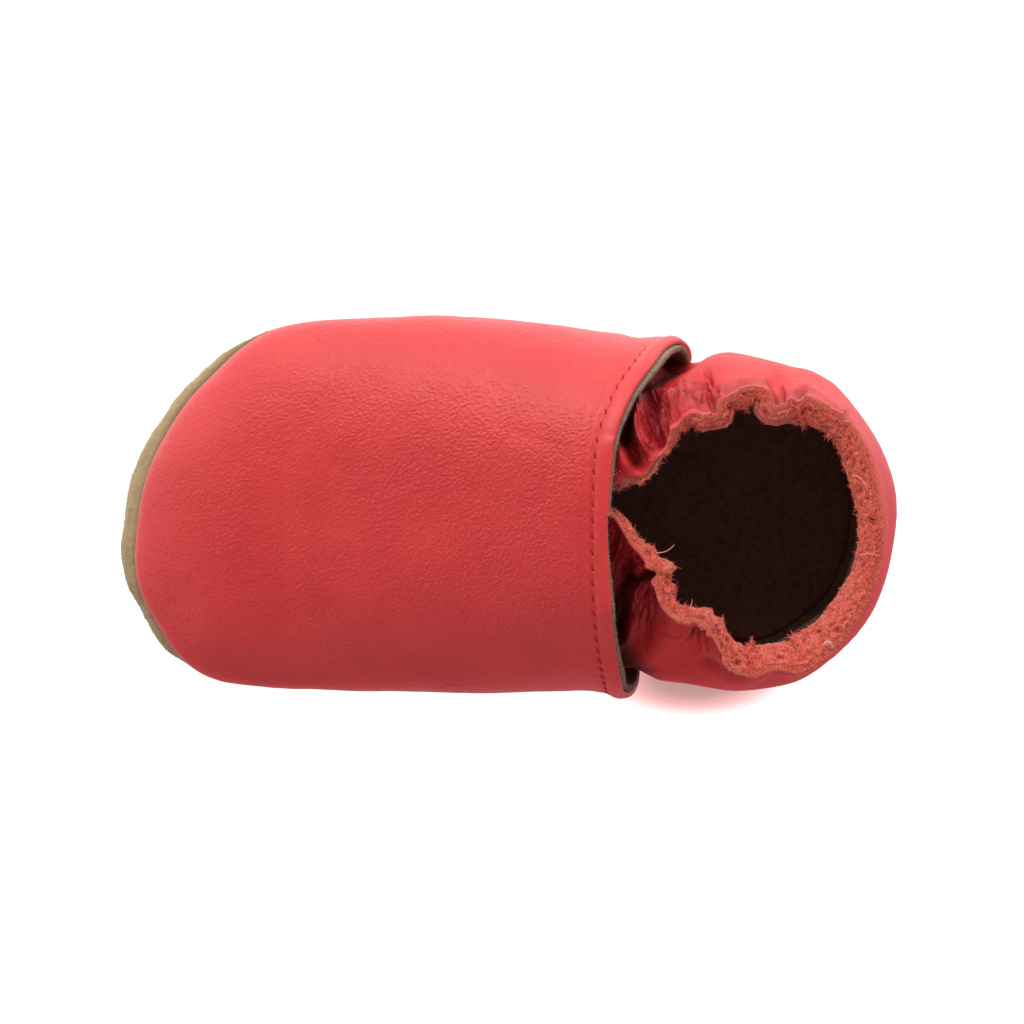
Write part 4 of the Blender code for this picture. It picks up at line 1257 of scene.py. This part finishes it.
def add_back(throat, at):
    """The red back piece: gathered outer face, cut edge and rough inner face. Returns its body
    without the fine relief, the body's normals, how far below the edge its points are, the
    direction up along it, and the cut edge."""
    grid = back_sheet(BACK_COLUMNS, BACK_TUCK_STEPS, BACK_WALL_STEPS)
    normals = grid_normals(grid)
    steps = np.linalg.norm(np.diff(grid, axis=0), axis=-1)
    below = np.concatenate([np.cumsum(steps[::-1], axis=0)[::-1], np.zeros((1, len(at)))])
    large, fine, fields = back_relief(grid, at, below, throat)
    outer = grid + normals * (large + fine)[..., None]
    body = grid + normals * large[..., None]
    up = unit(body[-1] - body[-4])
    normal = square_to(normals[-1], up)
    edge = outer[-1]
    speckle = noise(edge, 0.45, 71)[:, None]
    cut = []
    for inward, rise in CUT_PROFILE:
        shift = noise(edge + normal * inward * 3, 0.5, 73)[:, None] * 0.12
        cut.append(edge - normal * inward + up * (rise + shift + 0.03 * speckle))
    cut = np.array(cut)
    inner = [body[row] - normals[row] * BACK_WALL for row in range(len(grid) - 1, 0, -9)]
    whole = np.concatenate([outer, cut, np.array(inner)])
    rows, columns = whole.shape[:2]
    face_looks = np.full(rows - 1, 2)
    face_looks[:len(outer) + len(cut) + 1] = 1
    face_looks[:len(outer)] = 3
    face_looks[:len(outer) - 1] = 0
    rest = np.zeros((rows - len(outer), columns))
    mesh_piece("back_leather", "upper_back", [LEATHER_BACK, FLESH_CUT, FLESH_IN_SHADE, GRAIN_LINE],
               whole, grid_faces(rows, columns)[:, ::-1], np.repeat(face_looks, columns - 1),
               {name: np.concatenate([values, rest]) for name, values in fields.items()},
               nodes=["upper_back"])
    return body, normals, below, up, cut


def below_edge(grid, normals, below, depths):
    """Places on a sheet and its normals at distances below its top edge, column by column."""
    places = np.empty((len(depths), grid.shape[1], 3))
    facing = np.empty_like(places)
    for column in range(grid.shape[1]):
        run = below[::-1, column]
        for axis in range(3):
            places[:, column, axis] = np.interp(depths, run, grid[::-1, column, axis])
            facing[:, column, axis] = np.interp(depths, run, normals[::-1, column, axis])
    return places, unit(facing)


def add_casing(body, normals, below, up, band, apart, at):
    """The inner layer of the collar: its cut top and the napped face that swells inwards."""
    waver = np.stack([at, np.zeros_like(at), np.zeros_like(at)], -1)
    gap = np.clip(0.15 * apart - 0.20 + 0.20 * noise(waver, 2.3, 75), -0.25, None)
    start = BACK_WALL + gap
    top = CASING_TOP
    swell = np.maximum(band - start - top, 0.2)
    rise = 0.12 * noise(waver, 1.7, 77) + 0.10 * noise(waver, 0.8, 78)
    rise = rise + FLAP_PROUD * fading(12.0, 19.0, at)
    stops = []
    for depth in CASING_INNER_DEPTHS:
        stops.append((depth, start, 0 * start, 0.0))
    for part in np.linspace(0.0, 1.0, 8):
        lift = rise + 0.14 * math.sin(math.pi * part) - 0.1 * part
        stops.append((0.0, start + top * part, lift, 0.4 + 0.6 * part))
    for part in np.linspace(0.0, 1.0, 26)[1:]:
        reach = start + top + swell * math.sin(math.pi / 2 * part) ** 0.9
        stops.append((SWELL_DEPTH * part ** 1.5, reach, (rise - 0.1) * (1 - part), 1.0))
    for part in np.linspace(0.0, 1.0, 14)[1:]:
        ease = part * part * (3 - 2 * part)
        reach = (start + top + swell) * (1 - ease) + (BACK_WALL + GAP + CASING_WALL) * ease
        depth = SWELL_DEPTH + (CASING_DEPTH - SWELL_DEPTH) * part
        stops.append((depth, reach, 0 * start, 1.0 - 0.3 * part))
    depths, reaches, rises, inside = (np.array(values) for values in zip(*stops))
    places, facing = below_edge(body, normals, below, depths)
    grid = places - facing * reaches[..., None] + up[None] * rises[..., None]
    inside = inside[:, None]
    face = grid_normals(grid)
    if np.mean(np.sum(face[20:30] * -facing[20:30], -1)) < 0:
        face = -face
    tufts = noise(grid, 0.8, 81) * 0.6 + noise(grid, 0.42, 83) * 0.4
    pits = np.clip(noise(grid, 1.1, 87) - 0.15, 0, 1)
    relief = (TUFT_HEIGHT * tufts - PIT_DEPTH * pits) * smooth_step(0.0, 0.4, inside)
    grid = grid + face * relief[..., None]
    flap = fading(17.0, 23.0, at)
    crowns = sum(hump(at, place, PIT_SHADE_RUN) for place in PIT_SHADE_PLACES)
    pit_shade = np.clip(0.9 * crowns * zone(np.arange(len(grid))[:, None], PIT_SHADE_ROWS), 0.0, 1.0)
    # Painted shade: the nap is darker in its pits, and more so at the listed places along the
    # collar.
    sunk = np.clip((1 + 0.6 * pit_shade) * (-tufts * 1.1 + pits * 1.8) + 0.25 * pit_shade, 0.0, 0.9)
    sunk = sunk * inside * (1 - flap)
    # Painted light: the nap on the lateral flap is made paler, against the shade it lies in behind
    # the throat edge.
    pale = np.broadcast_to(0.55 * flap, sunk.shape)
    mesh_piece("collar_casing_nap", "collar_casing", [FLESH_NAP], grid,
               fields={"painted_shade": sunk, "pale": pale}, nodes=["collar_casing"])
    return grid, face


Felt = namedtuple("Felt", "name look count shortest longest radius lift")
COLLAR_FELT = [
    Felt("collar_nap", FIBRE_CORAL, 6000, 0.40, 0.85, 0.062, 0.22),
    Felt("collar_nap_pale", FIBRE_PALE, 2400, 0.40, 0.90, 0.052, 0.30),
    Felt("collar_nap_deep", FIBRE_DEEP, 1700, 0.40, 0.80, 0.055, 0.05),
]


def add_felt(casing, casing_face, cut, up, at):
    """Matted fibres over the collar's nap and, fewer and shorter, over the cut leather edge."""
    random = np.random.default_rng(17)
    wide = np.gradient(at)
    for felt in COLLAR_FELT:
        count = felt.count
        column = random.choice(len(at), count, p=wide / wide.sum())
        row = random.integers(4, 36, count)
        cut_row = random.integers(1, len(cut), count)
        is_cut = np.arange(count) < count // 3
        place = np.where(is_cut[:, None], cut[cut_row, column], casing[row, column])
        face = np.where(is_cut[:, None], up[column], casing_face[row, column])
        lie = square_to(random.normal(0.0, 1.0, (count, 3)), face)
        lift = random.uniform(-0.1, felt.lift, (count, 1)) * np.where(is_cut, 0.4, 1.0)[:, None]
        lengths = random.uniform(felt.shortest, felt.longest, count) * np.where(is_cut, 0.55, 1.0)
        radius = felt.radius * random.uniform(0.7, 1.2, count) * np.where(is_cut, 0.8, 1.0)
        fibre_piece(felt.name, "collar_casing", felt.look, place, unit(lie + face * lift), lengths,
                    radius, random, bend=0.9)


Hair = namedtuple("Hair", "name radius look points")
LOOSE_HAIRS = [
    Hair("hair_gather", 0.085, FIBRE_PALE,
         ((5.6, 24.8, 41.4), (5.3, 26.2, 42.2), (4.7, 27.2, 42.6), (4.0, 27.8, 42.7))),
    Hair("hair_step", 0.075, FIBRE_PALE,
         ((14.9, 30.1, 42.4), (14.1, 30.5, 43.1), (12.9, 30.7, 43.4))),
    Hair("hair_quarter", 0.085, FIBRE_PALE,
         ((-7.5, 56.6, 45.6), (-7.2, 57.6, 46.1), (-6.0, 58.6, 46.2), (-4.9, 59.1, 45.9))),
    Hair("hair_heel", 0.070, FIBRE_PALE,
         ((5.5, 57.8, 45.9), (5.3, 59.4, 46.5), (5.6, 61.2, 46.3))),
    Hair("thread_end", 0.14, THREAD_ECRU,
         ((20.0, 52.2, 45.2), (19.7, 52.8, 45.7), (20.2, 53.4, 45.6), (20.9, 53.6, 45.1))),
]


def add_loose_hairs():
    """A few long fibres and a thread end that stand out of the nap."""
    stops = np.linspace(0.0, 1.0, 16)
    for hair in LOOSE_HAIRS:
        path = spline(np.linspace(0.0, 1.0, len(hair.points)), np.array(hair.points), stops)
        girth = hair.radius * np.interp(stops, (0.0, 0.8, 1.0), (1.0, 0.8, 0.35))
        mesh_piece(hair.name, "collar_casing", [hair.look], *tubes(path[None], girth[None], 6))


def add_flap_stitches(body, normals, below, at):
    """The end of the elastic tunnel's seam on the lateral flap: a few tight, drawn-in stitches."""
    run = np.arange(FLAP_FROM, FLAP_TO, FLAP_PITCH)
    column, half_on = np.searchsorted(at, run), np.searchsorted(at, run + FLAP_PITCH / 2)
    (seam,), (face,) = below_edge(body, normals, below, np.array([FLAP_SEAM]))
    face = face[column]
    along = unit(seam[column + 2] - seam[column - 2])
    random = np.random.default_rng(29)
    thread_piece("flap_thread", "upper_back", THREAD_PALE, seam[column] - face * 0.02, along,
                 random.uniform(0.30, 0.42, len(run)), 0.15)
    # the slots: thread painted dark as the shade of its holes
    thread_piece("flap_shaded_slots", "upper_back", THREAD_SHADED, seam[half_on] - face * 0.08, along,
                 random.uniform(0.3, 0.42, len(run)), 0.2)


# ---------------------------------------------------------------- the sole
LEVEL_INSET = 1.2       # width of the level band round a face filled with strips
SOLE_TURNS = np.linspace(0.0, 360.0, SOLE_COLUMNS, endpoint=False)


def sole_profile():
    """Rings of the sole, from the edge of its tread up over the rim and down inside."""
    turn = SOLE_TURNS
    y = outline(turn)[:, 1]
    seam = VAMP_STAND * fading(8.0, 34.0, y) - of_last("seam_in", y)
    rim_out = of_last("rim_out", y)
    rim_z = of_last("rim_z", y)
    seam_z = of_last("seam_z", y)

    def ring(out, bottom, top, part):
        plan = outline(turn, out)
        low = spring(plan[:, 1]) + bottom
        return np.concatenate([plan, (low + part * (top - low))[:, None]], 1)

    inner = seam - SOLE_THICKNESS
    rings = [
        ring(seam - 1.4 - 0.9 * rim_out, 0.0, rim_z, 0.0),
        ring(seam - 0.3 + 0.55 * rim_out, 0.0, rim_z, 0.35),
        ring(seam + rim_out, 0.0, rim_z, 1.0),
        ring(seam + 0.85 * rim_out, 0.0, rim_z + 0.6 * (seam_z - rim_z), 1.0),
        ring(seam + 0.2, 0.0, seam_z, 1.0),
        ring(seam - 0.8, 0.0, seam_z, 1.0),
        ring(inner - 0.5, SOLE_THICKNESS, seam_z, 0.4),
        ring(inner - 1.4, SOLE_THICKNESS, seam_z, 0.0),
    ]
    return np.array(rings)


def strips(base, count):
    """Faces that fill a ring with strips across the shoe."""
    faces = []
    for index in range(count // 2):
        near = (base + index, base + index + 1)
        far = (base + (count - index - 1) % count, base + (count - index) % count)
        faces.append(tuple(dict.fromkeys([*near, *far])))
    return faces


def level_ring(ring):
    """The same ring drawn in a little at its own level, so that a face filled with strips is
    shaded as the flat it is."""
    plan = ring[:, :2]
    along = unit(np.roll(plan, -1, 0) - np.roll(plan, 1, 0))
    inward = np.stack([-along[:, 1], along[:, 0]], -1)
    if np.mean(np.sum(inward * (plan - plan.mean(0)), -1)) > 0:
        inward = -inward
    drawn_in = plan + inward * LEVEL_INSET
    half = len(ring) // 2
    for side in (drawn_in[:half + 1, 1], drawn_in[half:, 1][::-1]):
        side[:] = np.maximum.accumulate(side)
    lift = spring(drawn_in[:, 1]) - spring(plan[:, 1])
    return np.concatenate([drawn_in, (ring[:, 2] + lift)[:, None]], 1)


def tray_piece(name, slot, looks, rings, first_inside=0, fields=()):
    """Rings closed below and above by strips; faces from one ring on have the second look."""
    rows, count = rings.shape[:2]
    faces = grid_faces(rows, count, round_columns=True).tolist()
    faces += strips(0, count) + strips((rows - 1) * count, count)
    face_looks = [int(min(face) >= first_inside * count > 0) for face in faces]
    mesh_piece(name, slot, looks, rings, faces, face_looks, fields, closed=True, nodes=[slot])


def add_sole(vamp):
    """The suede sole: a tray with an uneven, fuzzy rim, with painted shade where it runs under the
    vamp's edge.
    """
    fine = np.concatenate([np.linspace(0, 6, 55), [6.5, 7.0]])
    rings = sole_profile()
    grid = swollen(spline(np.arange(len(rings)), rings, fine), SOLE_SWELLS, 1.0)
    turn = np.broadcast_to(np.radians(SOLE_TURNS), grid.shape[:2])
    place = np.stack([np.cos(turn) * 34.0, np.sin(turn) * 34.0, grid[..., 2] * 0.25], -1)
    along = np.roll(grid, -1, 1) - np.roll(grid, 1, 1)
    face = unit(np.cross(np.gradient(grid, axis=0), along))
    if np.mean(np.sum(face[20:30] * (grid[20:30] - (0.0, 0.0, 10.0)), -1)) < 0:
        face = -face
    rim = zone(fine, (1.2, 2.2, 4.0, 5.0))[:, None]
    relief = (0.30 * noise(place, 2.6, 91) + 0.10 * noise(grid, 1.1, 93)) * rim
    grid = grid + face * relief[..., None]
    far = np.argmax(np.linalg.norm(vamp[..., :2] - VAMP_CENTRE[:2], axis=-1), axis=0)
    rim_line = vamp[far, np.arange(vamp.shape[1]), :2][::4]
    gap = to_line(grid[..., :2], rim_line)[0]
    # Painted shade on the rim's upper face along the vamp's edge, on the front half.
    painted_shade = 0.8 * fading(0.1, 1.5, gap) * (grid[..., 1] < 0.0)
    painted_shade = painted_shade * smooth_step(0.1, 0.6, face[..., 2])
    tray_piece("sole_suede", "outsole", [SUEDE_SOLE, SUEDE_INSOLE],
               np.concatenate([level_ring(grid[0])[None], grid]), int(np.argmax(fine > 5.0) + 1),
               {"painted_shade": np.concatenate([0 * painted_shade[:1], painted_shade])})
    random = np.random.default_rng(23)
    toe = np.where(grid[20, :, 1] < -18.0)[0]
    column = random.choice(toe, SOLE_FIBRES)
    row = random.integers(14, 46, SOLE_FIBRES)
    aims = unit(face[row, column] + random.normal(0.0, 0.8, (SOLE_FIBRES, 3)))
    fibre_piece("sole_fuzz", "outsole", FIBRE_TAN, grid[row, column] - face[row, column] * 0.05,
                aims, random.uniform(0.2, 0.45, SOLE_FIBRES), 0.04, random)


def add_insole():
    """The thin dark pad that lies in the sole."""
    inset = -of_last("seam_in", outline(SOLE_TURNS)[:, 1]) - SOLE_THICKNESS - 0.2
    rings = []
    for inward, height in ((-1.2, 0.0), (0.0, 0.35), (0.0, 0.7), (-0.6, 1.0)):
        plan = outline(SOLE_TURNS, inset + inward)
        z = spring(plan[:, 1]) + SOLE_THICKNESS + GAP + INSOLE_THICKNESS * height
        rings.append(np.concatenate([plan, z[:, None]], 1))
    grid = spline(np.arange(4), np.array(rings), np.linspace(0, 3, 13))
    tray_piece("insole_suede", "insole", [SUEDE_INSOLE],
               np.concatenate([level_ring(grid[0])[None], grid, level_ring(grid[-1])[None]]))


# ---------------------------------------------------------------- floor, light, camera
TILT = math.radians(4.5)        # the camera stands this far off the vertical, to the lateral side
CAMERA_TARGET = np.array([1.15, 1.2, 12.0])
CAMERA_FAR = 700.0
CAMERA_LENS = 143.93
SENSOR = 36.0
FLOOR_SIZE = 6000.0
SKY_OVERHEAD = 0.32     # brightness of the studio straight above
SKY_LATERAL = 2.0      # and low down on the lateral side
SKY_MEDIAL = 0.62       # and low down on the medial side
FLOOR_LATERAL = 1.4     # what the floor sends back up, on the lateral side
FLOOR_MEDIAL = 0.62     # and on the medial side, where it is pink
FLOOR_TINT = (1.0, 0.34, 0.36)
FLOOR_GLOW = 0.97       # the floor is lit from below, as on a light table
FLOOR_SHADE = (0.42, 0.42, 0.42)    # but for one painted shadow beside the medial wing, painted pink round it, as a painted reflection of the red leather
FLOOR_PAINTED_REFLECTION = (1.0, 0.50, 0.48)     # pink where the red leather reflects into it
SHADE_PLACE = Vector((31.0, 33.2, 0.0))
SHADE_REACH = Vector((7.1, 16.4, 1.0))
KEY_PLACE = (-0.90, -0.12, 0.66)
KEY_AIM = Vector((0.0, 0.0, 0.015))
KEY_SIZE = 0.5
KEY_POWER = 4.6


def add_camera():
    """The photo's camera: almost straight above, toe to the left."""
    data = bpy.data.cameras.new("camera")
    data.lens = CAMERA_LENS
    data.sensor_width = SENSOR
    data.clip_start = 0.05
    data.clip_end = 20.0
    made = bpy.data.objects.new("camera", data)
    back = Vector((-math.sin(TILT), 0.0, math.cos(TILT)))
    right = Vector((0.0, 1.0, 0.0))
    up = back.cross(right)
    turned = Matrix((right, up, back)).transposed().to_4x4()
    place = Vector(CAMERA_TARGET.tolist()) * MM + back * CAMERA_FAR * MM
    made.matrix_world = Matrix.Translation(place) @ turned
    bpy.context.scene.collection.objects.link(made)
    bpy.context.scene.camera = made


def add_lamp():
    """One large soft lamp, low on the lateral side, that shines at the shoe."""
    data = bpy.data.lights.new("key", "AREA")
    data.shape = "DISK"
    data.size = KEY_SIZE
    data.energy = KEY_POWER
    made = bpy.data.objects.new("key", data)
    made.location = KEY_PLACE
    made.rotation_mode = "QUATERNION"
    made.rotation_quaternion = (KEY_AIM - Vector(KEY_PLACE)).to_track_quat("-Z", "Y")
    bpy.context.scene.collection.objects.link(made)


def floor_material():
    """White and glowing a little, with one painted shadow fringed with a painted pink reflection
    of the red leather; from below it's clear.
    """
    floor_look, tree, shader, place = new_material("floor_white", 0.9, specular=0.1)
    mottle = spots(tree, place, 0.002)
    grey = colour_mix(tree, mottle, (0.34, 0.34, 0.34), (0.36, 0.36, 0.36))
    feed(tree, shader, {"Base Color": grey})
    shade = node(tree, "ShaderNodeMapping", settings={"vector_type": "TEXTURE"}, Vector=place,
                 Location=SHADE_PLACE * MM, Scale=SHADE_REACH * MM)
    distance = node(tree, "ShaderNodeVectorMath", [shade.outputs[0]], {"operation": "LENGTH"})
    distance = distance.outputs["Value"]
    # painted shadow beside the medial wing, fringed with a painted pink reflection
    grey = colour_mix(tree, ramp(tree, distance, 0.35, 0.90), FLOOR_SHADE, WHITE)
    pink = colour_mix(tree, ramp(tree, distance, 0.65, 1.08), FLOOR_PAINTED_REFLECTION, WHITE)
    glow = colour_mix(tree, 1.0, grey, pink, "MULTIPLY")
    feed(tree, shader, {"Emission Color": glow, "Emission Strength": FLOOR_GLOW})
    from_below = tree.nodes.new("ShaderNodeNewGeometry").outputs["Backfacing"]
    clear = tree.nodes.new("ShaderNodeBsdfTransparent").outputs[0]
    one_way = node(tree, "ShaderNodeMixShader", (from_below, shader.outputs[0], clear))
    feed(tree, tree.nodes["Material Output"], {"Surface": one_way.outputs[0]})
    return floor_look


def add_floor():
    """The floor. It isn't seen in reflections, where the sky's lower half stands for it."""
    corners = np.array([(-1, -1, 0), (1, -1, 0), (1, 1, 0), (-1, 1, 0)]) * FLOOR_SIZE / 2
    floor = mesh_piece("floor", None, [floor_material()], corners, [(0, 1, 2, 3)])
    floor.visible_diffuse = False
    floor.visible_glossy = False


def add_sky():
    """A studio that is brighter on the lateral side, with the floor's pink glow below."""
    world = bpy.data.worlds.new("studio")
    world.use_nodes = True
    tree = world.node_tree
    sky = tree.nodes["Background"]
    towards = tree.nodes.new("ShaderNodeTexCoord").outputs["Generated"]
    parts = node(tree, "ShaderNodeSeparateXYZ", Vector=towards)
    height = parts.outputs["Z"]
    lateral = ramp(tree, times(tree, parts.outputs["X"], -1.0), -0.75, 0.9)
    low = times(tree, lateral, SKY_LATERAL - SKY_MEDIAL, SKY_MEDIAL)
    overhead = ramp(tree, height, 0.25, 0.95)
    strength = blend(tree, overhead, low, SKY_OVERHEAD)
    above = ramp(tree, height, -0.20, 0.05)
    floor_light = times(tree, lateral, FLOOR_LATERAL - FLOOR_MEDIAL, FLOOR_MEDIAL)
    strength = blend(tree, above, floor_light, strength)
    tint = colour_mix(tree, ramp(tree, lateral, 0.2, 0.7), FLOOR_TINT, WHITE)
    feed(tree, sky, {"Color": colour_mix(tree, above, tint, WHITE), "Strength": strength})
    bpy.context.scene.world = world


for thing in list(bpy.data.objects):
    if thing.name in ("Cube", "Light", "Camera"):
        bpy.data.objects.remove(thing, do_unlink=True)

bpy.context.scene.view_settings.view_transform = "Standard"
add_camera()
add_lamp()
add_floor()
add_sky()
vamp_grid, throat_line = add_vamp()
add_lining(vamp_grid)
add_topstitch(vamp_grid, throat_line)
casing_band, casing_apart, collar_run = collar_line(BACK_COLUMNS)[2:]
back, back_normals, below_top, upwards, cut_edge = add_back(throat_line, collar_run)
casing, casing_face = add_casing(back, back_normals, below_top, upwards, casing_band,
                                 casing_apart, collar_run)
add_felt(casing, casing_face, cut_edge, upwards, collar_run)
add_loose_hairs()
add_flap_stitches(back, back_normals, below_top, collar_run)
add_sole(vamp_grid)
add_insole()
